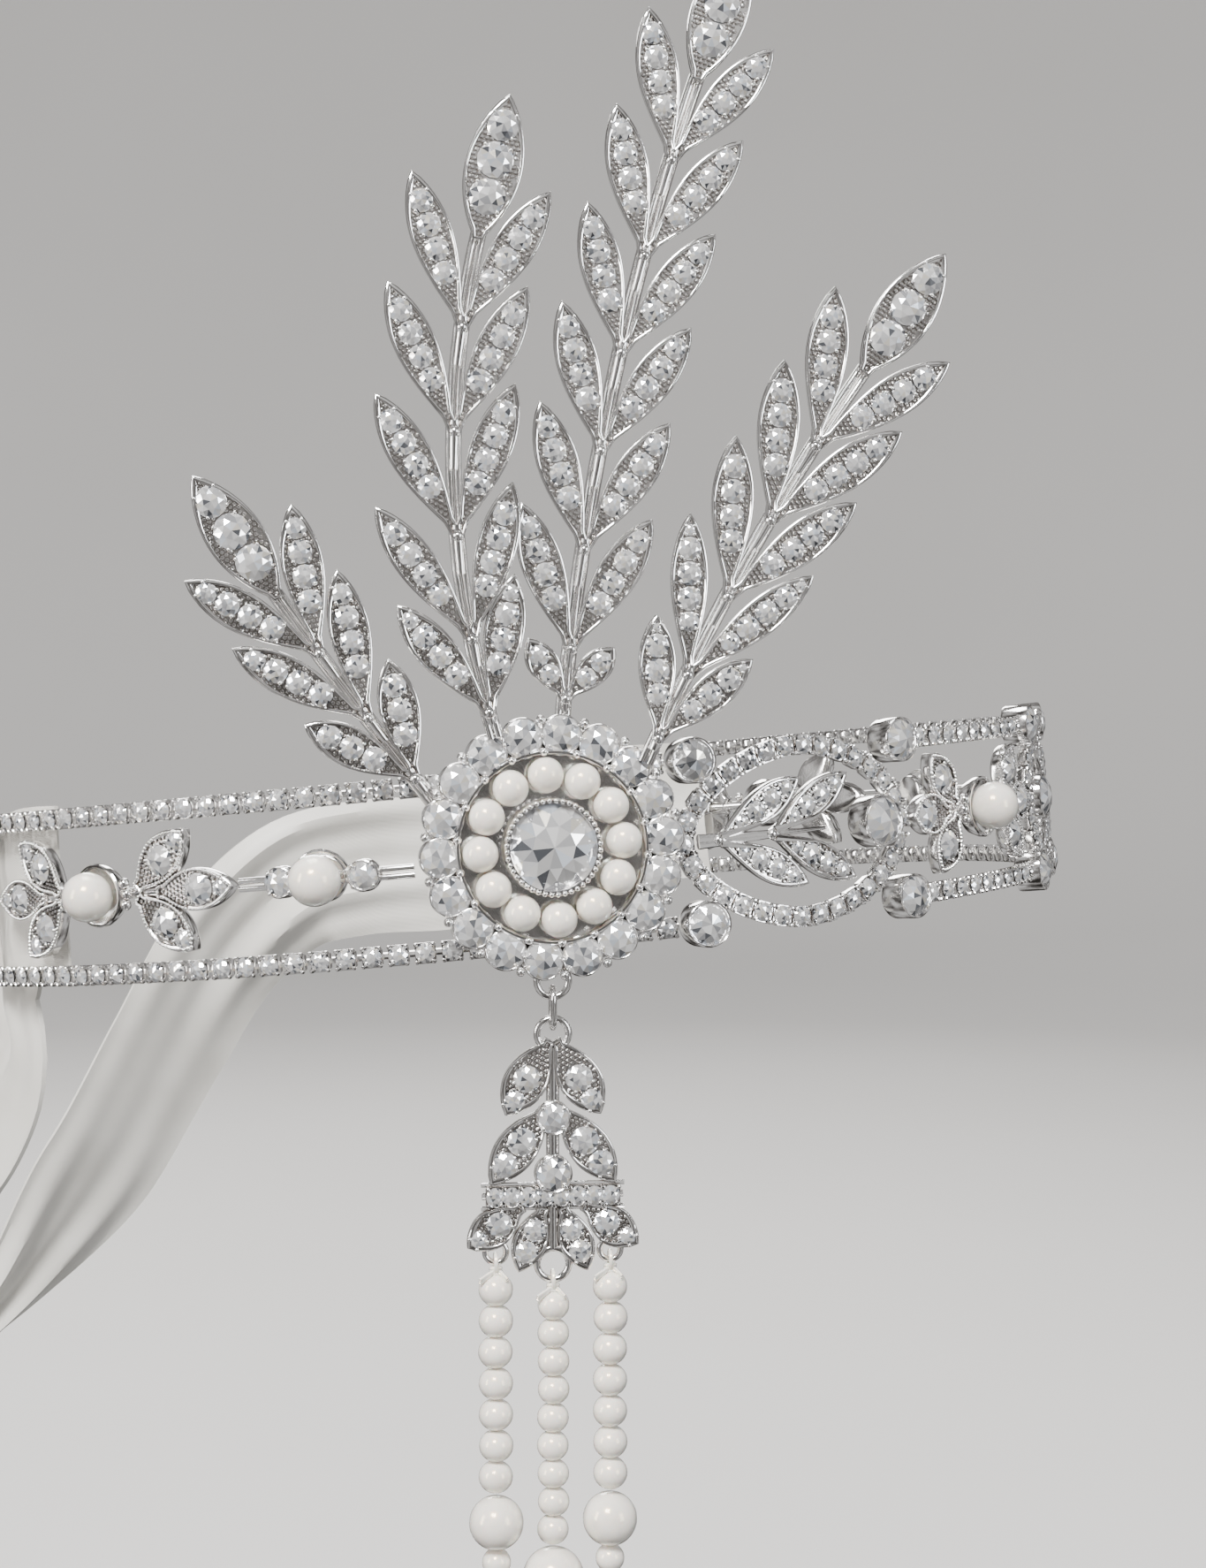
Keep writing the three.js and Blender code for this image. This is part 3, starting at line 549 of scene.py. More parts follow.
def add_claw_stone(metal, stones, diameter, depth, *moves):
    """A round cup with its stone held under four claws."""
    metal.add(cup_wall(diameter, depth), *moves)
    stones.add(brilliant(diameter - 0.5, 8), turn(9), shift(z=depth - 0.15), *moves)
    for i in range(4):
        metal.add(ball(0.55, 6, 4), stretch(x=1.4), shift(diameter / 2 - 0.3, 0, depth + 0.05),
                  turn(45 + 90 * i), *moves)


def grain(size):
    """A small raised bead of metal."""
    rings = [circle(size / 2 * share, size * rise, 6) for share, rise in ((1, -0.2), (0.9, 0.2), (0.4, 0.42))]
    return loft(rings)


def pave_leaf(metal, stones, leaf, thickness, *moves, first=0.22, most=2.6, milgrain=False):
    """A rimmed leaf with a row of stones, and the rest of its bed covered in grains."""
    length = leaf[0]
    metal.add(leaf_plate(leaf, thickness), *moves)
    bed = thickness / 2 - 0.3

    def room(x):
        return leaf_half(leaf, x) - RIM

    set_stones = []
    x = length * first
    while x < length * 0.9:
        size = most
        for _ in range(3):
            size = min(most, 1.96 * room(x + size / 2))
        fits = size > SMALLEST_STONE and x + size < length * 0.94
        if fits:
            set_stones.append((x + size / 2, size / 2))
        x += size + 0.08 if fits else STONE_STEP
    for middle, radius in set_stones:
        stones.add(brilliant(2 * radius, 8), turn(17 * middle), shift(middle, 0, bed + 0.16), *moves)
        for corner in (45, 135, 225, 315):
            claw = Vector((math.cos(math.radians(corner)), math.sin(math.radians(corner))))
            metal.add(ball(0.5, 6, 4), shift(middle + claw.x * radius, claw.y * radius, bed + 0.22), *moves)
    step = GRAIN
    row = 0
    x = 0.7
    while x < length - 0.8:
        count = int(room(x) / step)
        for k in range(-count, count + 1):
            y = (k + 0.5 * (row % 2)) * step
            if abs(y) > room(x) or any(math.hypot(x - middle, y) < radius for middle, radius in set_stones):
                continue
            metal.add(grain(GRAIN), shift(x, y, bed), *moves)
        x += step * 0.9
        row += 1
    if milgrain:
        for place in spaced(leaf_ring(leaf, RIM / 2, 0, 18), MILGRAIN * 1.1):
            metal.add(ball(MILGRAIN, 6, 4), shift(place.x, place.y, thickness / 2), *moves)


def spaced(outline, pitch):
    """Points about pitch apart round a closed outline."""
    places = []
    left = 0
    for start, end in zip(outline, outline[1:] + outline[:1]):
        length = (end - start).length
        while left < length:
            places.append(start.lerp(end, left / length))
            left += pitch
        left -= length
    return places


# ---- the band ----
def add_rails():
    for level, up in LEVELS:
        front = 2 * (OVAL_FRONT - CORNER_CUP / 2 - GAP)
        spans = [(f"{level}_rail_front", front, 0)]
        length = BAND_REACH - RAIL_START
        for side, way in SIDES:
            spans.append((f"{level}_rail_{side}", length, way * (RAIL_START + length / 2)))
        for name, span, middle in spans:
            metal, stones = Build(), Build()
            add_chain(metal, stones, chain_along(span, RAIL_PITCH))
            for build in (metal, stones):
                build.move(shift(y=up * CORNER_RISE))
                build.move(bend(middle))
            if level == "lower" and middle:
                way = 1 if middle > 0 else -1
                post = tube([(0, y, 0) for y in (-CORNER_RISE, -4, 0, 4, CORNER_RISE - 1)], 0.7, 10)
                metal.add(post, bend(way * (BAND_REACH - 0.8)))
            set_piece(name, metal, stones)


def oval_point(angle):
    cosine, sine = math.cos(angle), math.sin(angle)
    x = OVAL_LENGTH / 2 * math.copysign(abs(cosine) ** (2 / OVAL_POWER), cosine)
    y = OVAL_HEIGHT / 2 * math.copysign(abs(sine) ** (2 / OVAL_POWER), sine)
    return Vector((x, y, 0))


def oval_places():
    outline = [oval_point(2 * math.pi * (i + 0.5) / 240) for i in range(240)]
    girth = sum((b - a).length for a, b in zip(outline, outline[1:] + outline[:1]))
    pitch = girth / round(girth / OVAL_PITCH)
    places = spaced(outline, pitch)[:round(girth / pitch)]
    for i, here in enumerate(places):
        along = places[(i + 1) % len(places)] - places[i - 1]
        yield here.x, here.y, math.degrees(math.atan2(along.y, along.x))


def add_ovals():
    for side, way in SIDES:
        metal, stones = Build(), Build()
        add_chain(metal, stones, oval_places())
        low = shift(z=-CUP_DEPTH / 2)
        for _, up in LEVELS:
            for arc in (OVAL_FRONT, CORNER_BACK):
                x, y = way * (OVAL_MIDDLE - arc), up * CORNER_RISE
                add_bezel_stone(metal, stones, CORNER_CUP, CUP_DEPTH, low, shift(x, y))
        inner = OVAL_LENGTH / 2 - (OVAL_INNER_CUP + RAIL_WIDTH) / 2 + 0.3
        add_bezel_stone(metal, stones, OVAL_INNER_CUP, CUP_DEPTH, low, shift(way * inner))
        for build in (metal, stones):
            build.move(bend(way * OVAL_MIDDLE))
        set_piece(f"oval_frame_{side}", metal, stones)


def add_sprigs():
    leaf = (13, 3.9, 0.6, 1)
    splay = 28.5
    for side, way in SIDES:
        metal, stones = Build(), Build()
        foot = OVAL_BACK - RAIL_WIDTH / 2 - GAP
        for rise in (-0.35, 0.35):
            spine = [(way * x, rise * (1 - x / 18), 0.3) for x in (0, 3, 6, 9, 12, 15, 17)]
            metal.add(tube(spine, lambda t: 0.42 * (1 - t) + 0.12))
        for start in (2.4, 9.4):
            metal.add(ball(1.3, 14, 9), shift(way * start, 0, 0.5))
            for _, up in LEVELS:
                pave_leaf(metal, stones, leaf, METAL, heading_to(up * splay, way), shift(way * start),
                          first=0.22, most=2.5)
                needle = tube([(0.4, 0, 0.5), (3.5, 0, 0.7), (7, 0, 0.5)], lambda t: 0.4 * (1 - t) + 0.1)
                metal.add(needle, heading_to(up * splay * 0.36, way), shift(way * start, up * 0.4))
        for build in (metal, stones):
            build.move(bend(way * foot))
        set_piece(f"sprig_{side}", metal, stones)


def add_pearl(node, size=PEARL):
    """A pearl in the place of a CAD pearl, very slightly out of round."""
    low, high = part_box(node)
    middle = (low + high) / 2 / MM
    build = Build()
    build.add(smooth_ball(size), stretch(1.01, 1, 0.985), shift(*middle))
    build.piece(f"{node}_lustre", PEARLY, "pearl", "band", replaces=[node])


def flower(side_leaf, side_splay, mid_leaf, mid_start, arc):
    """A pearl's dish between two trios of leaves, on the band at arc."""
    metal, stones = Build(), Build()
    back = DISH_LIP - DISH_DEPTH
    inside = DISH_RADIUS - DISH_WALL
    metal.add(lathe([(2.2, back), (3.3, back + 0.5), (DISH_RADIUS, DISH_LIP - 0.7),
                     (DISH_RADIUS, DISH_LIP - 0.15), (DISH_RADIUS - 0.15, DISH_LIP),
                     (inside + 0.1, DISH_LIP), (inside, DISH_LIP - 0.15),
                     (inside, DISH_LIP - 0.8), (2.6, back + 0.9), (1.2, back + 0.4)], 40))
    wide = FLOWER_LEAF_WIDTH
    for way in (1, -1):
        arm = [(way * x, 0, -0.1) for x in (DISH_RADIUS - 0.2, JUNCTION, JUNCTION + mid_start + 1)]
        metal.add(tube(arm, 0.65, 10))
        for up in (-1, 0, 1):
            place = DISH_RADIUS + 1.1 - 0.3 * abs(up)
            metal.add(ball(1.35, 14, 9), shift(way * place, up * 1.25, 0.75))
        for _, up in LEVELS:
            pave_leaf(metal, stones, (side_leaf, wide, 0.54, 1.6), METAL + 0.4,
                      heading_to(up * side_splay, way), shift(way * JUNCTION, up * 0.5),
                      first=0.3, most=3.7, milgrain=True)
        pave_leaf(metal, stones, (mid_leaf, wide, 0.52, 1.6), METAL + 0.4, heading_to(0, way),
                  shift(way * (JUNCTION + mid_start)), first=0.36, most=3.8, milgrain=True)
    for build in (metal, stones):
        build.move(bend(arc))
    return metal, stones


def add_flowers():
    room = OVAL_FRONT - RAIL_WIDTH / 2 - GAP - JUNCTION
    for name, *sizes in (("right_flower", SIDE_LEAF, SIDE_SPLAY, MID_LEAF, MID_START, FLOWER_PLACE),
                         ("left_flower", SIDE_LEAF, SIDE_SPLAY, MID_LEAF, MID_START, -FLOWER_PLACE),
                         ("front_flower", FRONT_SIDE_LEAF, FRONT_SIDE_SPLAY, FRONT_MID_LEAF,
                          room - FRONT_MID_LEAF, 0)):
        metal, stones = flower(*sizes)
        set_piece(name, metal, stones)
        add_pearl(f"{name}_pearl")


def add_side_pearls():
    ends = FLOWER_PLACE - (JUNCTION + MID_START + MID_LEAF) - GAP
    starts = {"right": ROSETTE_PLACE + ROSETTE_RADIUS + GAP, "left": OVAL_BACK + RAIL_WIDTH / 2 + GAP}
    step = PEARL / 2 + SIDE_CUP / 2
    for side, way in SIDES:
        metal, stones = Build(), Build()
        near, far = starts[side] - SIDE_PEARL_PLACE, ends - SIDE_PEARL_PLACE
        count = 14
        for rise in (-0.45, 0.45):
            wire = [(-way * (near + (far - near) * i / count), rise, 0) for i in range(count + 1)]
            metal.add(tube(wire, 0.38, 10))
        metal.add(cup_wall(PEARL - 0.6, 1.5), shift(z=-0.9))
        curl = [(3.25 * math.cos(a), 3.25 * math.sin(a), 0.6 + 0.8 * math.sin(a))
                for a in (math.radians(20 + 16 * i) for i in range(9))]
        metal.add(tube(curl, 0.24, 8))
        for place in (-step, step):
            metal.add(ball(SIDE_CUP, 24, 14), stretch(z=0.8), shift(place, 0, -0.1))
            metal.add(cup_wall(3.7, 1.2, 0.25), shift(place, 0, 0.5))
            stones.add(brilliant(3.3, 8), shift(place, 0, 1.5))
            for i in range(4):
                metal.add(ball(0.6, 8, 5), shift(1.65), turn(45 + 90 * i), shift(place, 0, 1.65))
        for build in (metal, stones):
            build.move(bend(way * SIDE_PEARL_PLACE))
        set_piece(f"side_wire_{side}", metal, stones)
        add_pearl(f"side_pearl_{side}")


# ---- the rosette ----
def add_rosette():
    on_rosette = by(ROSETTE)
    metal, stones = Build(), Build()
    lobe_circle = 12.6
    metal.add(lathe([(13.2, 0), (13.9, 0.3), (13.9, 0.9), (13.2, ROSETTE_PLATE), (10.6, ROSETTE_PLATE),
                     (10.5, ROSETTE_PLATE - 0.1)], 72), on_rosette)
    metal.add(lathe([(10.4, ROSETTE_PLATE - 0.2), (10.9, ROSETTE_PLATE), (10.9, ROSETTE_DEPTH - 0.2),
                     (10.75, ROSETTE_DEPTH), (10.5, ROSETTE_DEPTH), (10.4, ROSETTE_DEPTH - 0.2),
                     (10.35, ROSETTE_PLATE)], 72), on_rosette)
    for i in range(ROSETTE_LOBES):
        angle = 360 * i / ROSETTE_LOBES
        around = [shift(lobe_circle), turn(angle), on_rosette]
        metal.add(cup_wall(4.7, ROSETTE_DEPTH - 0.4), *around)
        stones.add(brilliant(4.3, 8), turn(7 * i), shift(z=ROSETTE_DEPTH - 0.45), *around)
        for reach, size in ((10.7, 1), (14.3, 1.1), (12.6, 0.6)):
            between = 180 / ROSETTE_LOBES
            metal.add(ball(size, 10, 6), stretch(z=1.3), shift(reach, 0, ROSETTE_DEPTH - 0.3),
                      turn(angle + between), on_rosette)
    pad = (RAIL_SPACING - RAIL_WIDTH) / 2 - ROSETTE_RISE - 0.8
    metal.add(lathe([(pad - 0.2, -1), (pad, -0.8), (pad, 0.2)], 48), on_rosette)
    metal.add(wire_ring(EYELET_RADIUS, WIRE), shift(0, EYELET_RADIUS, 0), by(TASSEL))
    set_piece("rosette_frame", metal, stones)

    floor = ROSETTE_PLATE + GAP
    pearls = Build()
    for i in range(RING_PEARLS):
        pearls.add(ball(RING_PEARL + 0.12, 24, 14), stretch(1, 1, 0.97), shift(RING_PEARL_CIRCLE, 0),
                   turn(360 * i / RING_PEARLS), shift(z=floor + RING_PEARL / 2), on_rosette)
    pearls.piece("rosette_pearl_ring_lustre", PEARLY, "pearl", "band",
                 replaces=["rosette_pearl_ring"])

    bezel = Build()
    wall = CENTRE_STONE / 2
    bezel.add(lathe([(wall - 0.2, floor), (wall + 0.5, floor + 0.2), (wall + 0.5, floor + 3.1),
                     (wall + 0.3, floor + 3.5), (wall - 0.1, floor + 3.5), (wall - 0.2, floor + 3.2),
                     (wall - 0.2, floor + 1.4)], 48), on_rosette)
    beads = 44
    for i in range(beads):
        bezel.add(ball(0.66, 8, 5), shift(wall + 0.25, 0, floor + 3.5), turn(360 * i / beads),
                  on_rosette)
    bezel.piece("rosette_centre_bezel_setting", SILVER, "silver", "band",
                replaces=["rosette_centre_bezel"])
    stone = Build()
    stone.add(brilliant(CENTRE_STONE - 0.3, 10), stretch(z=0.9), shift(z=floor + 2.7), on_rosette)
    stone.piece("rosette_centre_stone_facets", CRYSTAL, "crystal", "band",
                replaces=["rosette_centre_stone"], flat=True)


# ---- the leaf sprays ----
def stem_curve(spray):
    length = spray["first"] + (spray["pairs"] - 2) * spray["pitch"] + spray["top"]
    start = math.radians(spray["start"])
    rate = math.radians(spray["end"] - spray["start"]) / length
    angle = math.radians(spray["angle"])
    foot = Vector((spray["foot"] * math.cos(angle), spray["foot"] * math.sin(angle)))

    def at(distance):
        heading = start + rate * distance
        x = foot.x + (math.sin(heading) - math.sin(start)) / rate
        y = foot.y - (math.cos(heading) - math.cos(start)) / rate
        return x, y, heading
    return length, at


def add_spray(spray):
    layer_step = LEAF_THICKNESS + GAP + STEM_DEPTH
    depth = ROSETTE_PLATE + GAP + STEM_DEPTH + spray["layer"] * layer_step
    to_band = [shift(z=depth), by(ROSETTE)]
    length, at = stem_curve(spray)
    rim_gap = spray["foot"] - ROSETTE_RADIUS - GAP

    metal, stones = Build(), Build()
    steps = round(length / 2.5)
    inwards = rim_gap + 1.6
    for side in (-0.47, 0.47):
        wire = []
        for i in range(steps + 1):
            x, y, heading = at((length + inwards + 1) * i / steps - inwards)
            wire.append((x - side * math.sin(heading), y + side * math.cos(heading), -0.6))
        metal.add(tube(wire, 0.44, 10), *to_band)
    x, y, heading = at(length)
    tip_leaf = (TIP_LEAF_LENGTH, TIP_LEAF_WIDTH + 0.2, 0.5, 1.4)
    pave_leaf(metal, stones, tip_leaf, LEAF_THICKNESS + 0.5, turn(math.degrees(heading)),
              shift(x, y, 0.6), *to_band, first=0.17, most=4.1)
    set_piece(f"{spray['name']}_spray_stem", metal, stones)

    for i in range(spray["pairs"]):
        metal, stones = Build(), Build()
        x, y, heading = at(0 if i == 0 else spray["first"] + (i - 1) * spray["pitch"])
        step_below = spray["first"] if i == 1 else spray["pitch"]
        collar = rim_gap if i == 0 else step_below * COLLAR_SHARE
        leaf_length = spray["first_leaf"] if i == 0 else spray["leaf"]
        splay = spray["first_splay"] if i == 0 else LEAF_SPLAY
        first_reach = spray["first_leaf"] * math.cos(math.radians(spray["first_splay"]))
        beside_first = i < 2 and first_reach > 1.3 * spray["first"]
        nearest = spray["first"] if beside_first else spray["pitch"]
        room = 1.3 * (nearest * math.sin(math.radians(splay)) - GAP)
        width = min(LEAF_WIDTH, leaf_length * 0.42, room) * 1.06
        seat = [shift(x, y, (LEAF_THICKNESS + GAP) / 2), *to_band]
        collar_tube = tube([(-collar, 0, 0), (-0.6, 0, 0.1), (1.2, 0, 0.1)],
                           lambda t: 0.52 + 0.16 * t, 12)
        metal.add(collar_tube, turn(math.degrees(heading)), *seat)
        metal.add(ball(1.5, 12, 8), turn(math.degrees(heading)), shift(z=0.25), *seat)
        for side in (-1, 1):
            pave_leaf(metal, stones, (leaf_length, width, 0.6, 1.3), LEAF_THICKNESS,
                      turn(math.degrees(heading) + side * splay), *seat, first=0.27, most=2.7)
        set_piece(f"{spray['name']}_spray_leaves_{i + 1}", metal, stones)


# ---- the tassel ----
LINK_TOP = 1.05
LINK_BOTTOM = -3.45
LINK_RADIUS = 1.35
RING_MIDDLE = LINK_BOTTOM + 1.05 - TASSEL_RING
BODY_TOP = RING_MIDDLE - TASSEL_RING
BAR_DROP = 16.6
SIDE_RING = dict(x=6.5, drop=22.9, radius=1.2, wire=0.7)
MIDDLE_RING = dict(x=0, drop=24.4, radius=1.8, wire=WIRE)


def add_link():
    metal = Build()
    half = (LINK_TOP - LINK_BOTTOM) / 2 - LINK_RADIUS
    middle = (LINK_TOP + LINK_BOTTOM) / 2
    path = []
    for i in range(36):
        angle = 2 * math.pi * (i + 0.5) / 36
        rise = LINK_RADIUS * math.sin(angle)
        path.append((0, rise + math.copysign(half, rise) + middle, LINK_RADIUS * math.cos(angle)))
    metal.add(tube(path, 0.35, 10, closed=True), by(TASSEL))
    metal.piece("tassel_link_wire", SILVER, "silver", "link", replaces=["tassel_link"])


def add_tassel_body():
    metal, stones = Build(), Build()
    hung = [shift(y=BODY_TOP), by(TASSEL)]
    metal.add(tube([(0, y, -0.3) for y in (0.3, -6, -12, -18, -22.6)], 0.75, 10), *hung)
    metal.add(wire_ring(TASSEL_RING, WIRE), shift(y=RING_MIDDLE), by(TASSEL))

    def leaf_between(foot, tip, width, **settings):
        along = Vector((tip[0] - foot[0], tip[1] - foot[1]))
        leaf = (along.length, width, 0.55, 1.3)
        heading = math.degrees(math.atan2(along.y, along.x))
        pave_leaf(metal, stones, leaf, METAL, turn(heading), shift(*foot), *hung, **settings)

    skirt = BAR_DROP + 1.15
    for way in (-1, 1):
        leaf_between((way * 0.3, 1.2), (way * 5.4, -7.3), 4.9, first=0.36, most=3.1)
        leaf_between((way * 0.6, -6.4), (way * 7.1, -15.1), 4.7, first=0.3, most=3.3)
        leaf_between((way * 3.4, -skirt), (way * 9.7, -22.3), 4.4, first=0.24, most=2.9)
        leaf_between((way * 1, -skirt), (way * 4, -25.2), 3.9, first=0.2, most=2.7)
        metal.add(wire_ring(SIDE_RING["radius"], SIDE_RING["wire"]),
                  shift(way * SIDE_RING["x"], -SIDE_RING["drop"]), *hung)
    metal.add(wire_ring(MIDDLE_RING["radius"], MIDDLE_RING["wire"]),
              shift(0, -MIDDLE_RING["drop"]), *hung)
    for drop, size in ((7.6, 3.9), (14, 4.3)):
        add_claw_stone(metal, stones, size, 1.9, shift(0, -drop, -0.7), *hung)
    bar_metal, bar_stones = Build(), Build()
    add_chain(bar_metal, bar_stones, chain_along(16.2, 2.05))
    for bar, build in ((bar_metal, metal), (bar_stones, stones)):
        build.add((bar.points, bar.faces), stretch(0.92, 0.98, 1), shift(y=-BAR_DROP, z=0.2), *hung)
    for rise in (-1.35, 1.35):
        metal.add(tube([(-8.1, rise, 0), (0, rise, 0), (8.1, rise, 0)], 0.28), shift(y=-BAR_DROP), *hung)
    set_piece("tassel_body", metal, stones, "tassel")


def add_strand(name, size, pitch, count, drop, end_bead=3.3):
    body = f"{name}_strand"
    hang = by(hung_at(f"{name}_strand_swing"))
    pearls = Build()
    loop = 1.0
    first = loop + size / 2 + 0.2
    last = first + (count - 1) * pitch
    shades = random.Random(name)
    pearls.add(tube(circle(loop, 0, 20), 0.24, 8, closed=True), turn(90, "Y"), hang)
    for way, reach in ((-1, 1.9), (1, 1.2)):
        for strand in (-0.12, 0, 0.14):
            wisp = [(0, -loop + 0.2, 0.2), (way * 0.6, -loop - 0.1 + strand, 0.8),
                    (way * reach, -loop - 0.9 + 2 * strand, 1.2 + strand)]
            pearls.add(tube(wisp, 0.19, 6), hang)
    for lift in (0.35, 0, -0.3):
        turn_of_thread = tube(circle(0.55, 0, 12), 0.24, 8, closed=True)
        pearls.add(turn_of_thread, turn(80, "X"), shift(y=-loop + lift), hang)
    pearls.add(tube([(0, -loop, 0), (0, -last, 0)], 0.3, 8), hang)
    for i in range(count):
        tall = 1 + shades.uniform(-0.02, 0.02)
        pearls.add(ball(size, 28, 16), turn(90, "X"), stretch(1.03, tall * 0.985, 1.03),
                   shift(shades.uniform(-0.06, 0.06), -(first + i * pitch), 0), hang)
    pearls.piece(f"{name}_strand_pearls_lustre", PEARLY, "pearl", body,
                 replaces=[f"{name}_strand_pearls"])
    end = Build()
    drop_place = last + size / 2 + GAP + drop / 2
    end.add(smooth_ball(drop), turn(90, "X"), shift(y=-drop_place), hang)
    end.add(ball(end_bead, 24, 14), turn(90, "X"), shift(y=-drop_place - drop / 2 - end_bead / 2 + 0.15),
            hang)
    end.piece(f"{name}_strand_drop_lustre", PEARLY, "pearl", body, replaces=[f"{name}_strand_drop"])


# ---- the ribbons ----
def smooth_path(points, step=1.5):
    """A smooth curve through points, as points about step apart."""
    points = [Vector(p) for p in points]
    ends = [points[0] * 2 - points[1], *points, points[-1] * 2 - points[-2]]
    path = []
    for a, b, c, d in zip(ends, ends[1:], ends[2:], ends[3:]):
        parts = max(2, round((c - b).length / step))
        for i in range(parts):
            t = i / parts
            path.append(0.5 * (2 * b + (c - a) * t + (2 * a - 5 * b + 4 * c - d) * t ** 2
                               + (3 * b - a - 3 * c + d) * t ** 3))
    return path + [points[-1]]


def ribbon(name, path, out_of, width_at, crease, replaces=()):
    """A strip of satin along path. width_at and crease take a share of its length; crease
    gives how deep its folds are there."""
    across = 24
    front, back = [], []
    travelled = [0.0]
    for a, b in zip(path, path[1:]):
        travelled.append(travelled[-1] + (b - a).length)
    length = travelled[-1]
    for i, point in enumerate(path):
        ahead = (path[min(i + 1, len(path) - 1)] - path[max(i - 1, 0)]).normalized()
        side = out_of(point).cross(ahead).normalized()
        normal = ahead.cross(side)
        t = travelled[i] / length
        row_front, row_back = [], []
        for k in range(across + 1):
            u = k / across * 2 - 1
            depth = crease(t)
            fold = depth * (math.sin(u * 5.5 + 2.1 * t) + 0.5 * math.sin(u * 11 + 5 * t))
            wave = 0.5 * noise(Vector((u * 1.2, travelled[i] * 0.035, len(name))))
            edge = 0.14 * (abs(u) > 0.955)
            place = point + side * (u * width_at(t) / 2) + normal * (fold + wave)
            row_front.append(place + normal * (RIBBON_CLOTH / 2 + edge))
            row_back.append(place - normal * (RIBBON_CLOTH / 2 + edge))
        front.append(row_front)
        back.append(row_back)
    rings = [row_front + row_back[::-1] for row_front, row_back in zip(front, back)]
    build = Build()
    build.add(loft(rings))
    item = build.piece(name, SATIN, "satin", "band", replaces)
    count = 2 * (across + 1)
    uv = item.data.uv_layers.new(name="ribbon")
    for loop in item.data.loops:
        ring, k = divmod(loop.vertex_index, count)
        k = min(k, count - 1 - k)
        uv.data[loop.index].uv = (k / across, travelled[min(ring, len(travelled) - 1)] / RIBBON_WIDTH)
    return item


def band_point(arc, rise, outwards):
    return seat_on_band(arc, rise, outwards).translation


BAND_AXIS = (TILT @ Vector((0, 0, 1, 0))).to_3d()


def head_outwards(point):
    return (point - BAND_AXIS * point.dot(BAND_AXIS)).normalized()


def eased(value, low, high):
    t = min(max((value - low) / (high - low), 0), 1)
    return t * t * (3 - 2 * t)


def bell(value, middle, reach):
    """1 at middle, and nothing at reach from it on either side."""
    return 1 - eased(abs(value - middle), 0, reach)


def add_ribbons():
    turns = {
        "right": [(-3, -CORNER_RISE * 0.16), (0.5, -CORNER_RISE * 0.58), (2.3, -CORNER_RISE - 2.6),
                  (2.3, -CORNER_RISE - 10.6)],
        "left": [(0, 0), (7, -2.8)],
    }
    routes = {
        "right": [(-66, 34, -34), (-62, 44, -50), (-52, 62, -66), (-36, 84, -78), (-18, 101, -88)],
        "left": [(60, 42, -9.5), (53, 51, -11), (44, 60, -11.5), (36, 68, -14.5), (29.5, 77, -25),
                 (24, 85, -41), (18, 94, -60), (10, 105, -79)],
    }
    widths = {
        "right": lambda t: RIBBON_WIDTH * (1 - 0.3 * bell(t, 0.16, 0.1) - 0.66 * eased(t, 0.8, 1)),
        "left": lambda t: RIBBON_WIDTH * (1 - 0.66 * eased(t, 0.76, 1)),
    }
    creases = {
        "right": lambda t: 0.1 + 0.7 * bell(t, 0.16, 0.12) + 1.1 * eased(t, 0.7, 1),
        "left": lambda t: 0.2 + 1.3 * bell(t, 0.42, 0.22) + 1.1 * eased(t, 0.68, 1),
    }
    for side, way in SIDES:
        flap = [(-RIBBON_FLAP, 0), (-RIBBON_FLAP / 2, 0), *turns[side]]
        route = [band_point(way * (BAND_REACH + along), rise, -RIBBON_INSIDE) for along, rise in flap]
        route += [Vector(place) for place in routes[side]]
        route.append(KNOT_PLACE + (route[-1] - KNOT_PLACE).normalized() * 5)
        ribbon(f"ribbon_{side}_satin", smooth_path(route), head_outwards, widths[side], creases[side],
               replaces=[f"ribbon_{side}"])
    add_knot()


def add_knot():
    knot = Build()
    rows, around = 26, 40
    rings = []
    for i in range(rows + 1):
        angle = math.pi * (0.02 + 0.96 * i / rows)
        ring = []
        for k in range(around):
            turned = 2 * math.pi * k / around
            radius = math.sin(angle) * (1 + 0.09 * math.sin(3 * turned + 4 * angle))
            pleat = 1 + 0.06 * math.sin(14 * angle + 2 * math.sin(turned))
            ring.append(Vector((7.6 * -math.cos(angle), 5.4 * radius * pleat * math.cos(turned),
                                6.2 * radius * pleat * math.sin(turned))) + KNOT_PLACE)
        rings.append(ring)
    knot.add(loft(rings))
    item = knot.piece("ribbon_knot_satin", SATIN, "satin", "band", replaces=["ribbon_knot"])
    uv = item.data.uv_layers.new(name="ribbon")
    for loop in item.data.loops:
        ring, k = divmod(loop.vertex_index, around)
        uv.data[loop.index].uv = (ring / rows, k / around * 2)
    for side, way in (("right", -1), ("left", 1)):
        hang = [(way * 2, 1, -2), (way * 6, 3.4, -28), (way * 9, 4, -TAIL_LENGTH / 2),
                (way * 12, 2.2, -88), (way * 14, 1, -TAIL_LENGTH)]
        path = smooth_path([KNOT_PLACE + Vector((x, y + way * 1.2, z)) for x, y, z in hang])
        ribbon(f"ribbon_{side}_tail", path, lambda point: Vector((0, 1, 0)),
               lambda t: RIBBON_WIDTH * (0.34 + 0.66 * eased(t, 0, 0.24)),
               lambda t: 0.25 + 1.0 * (1 - eased(t, 0, 0.5)))


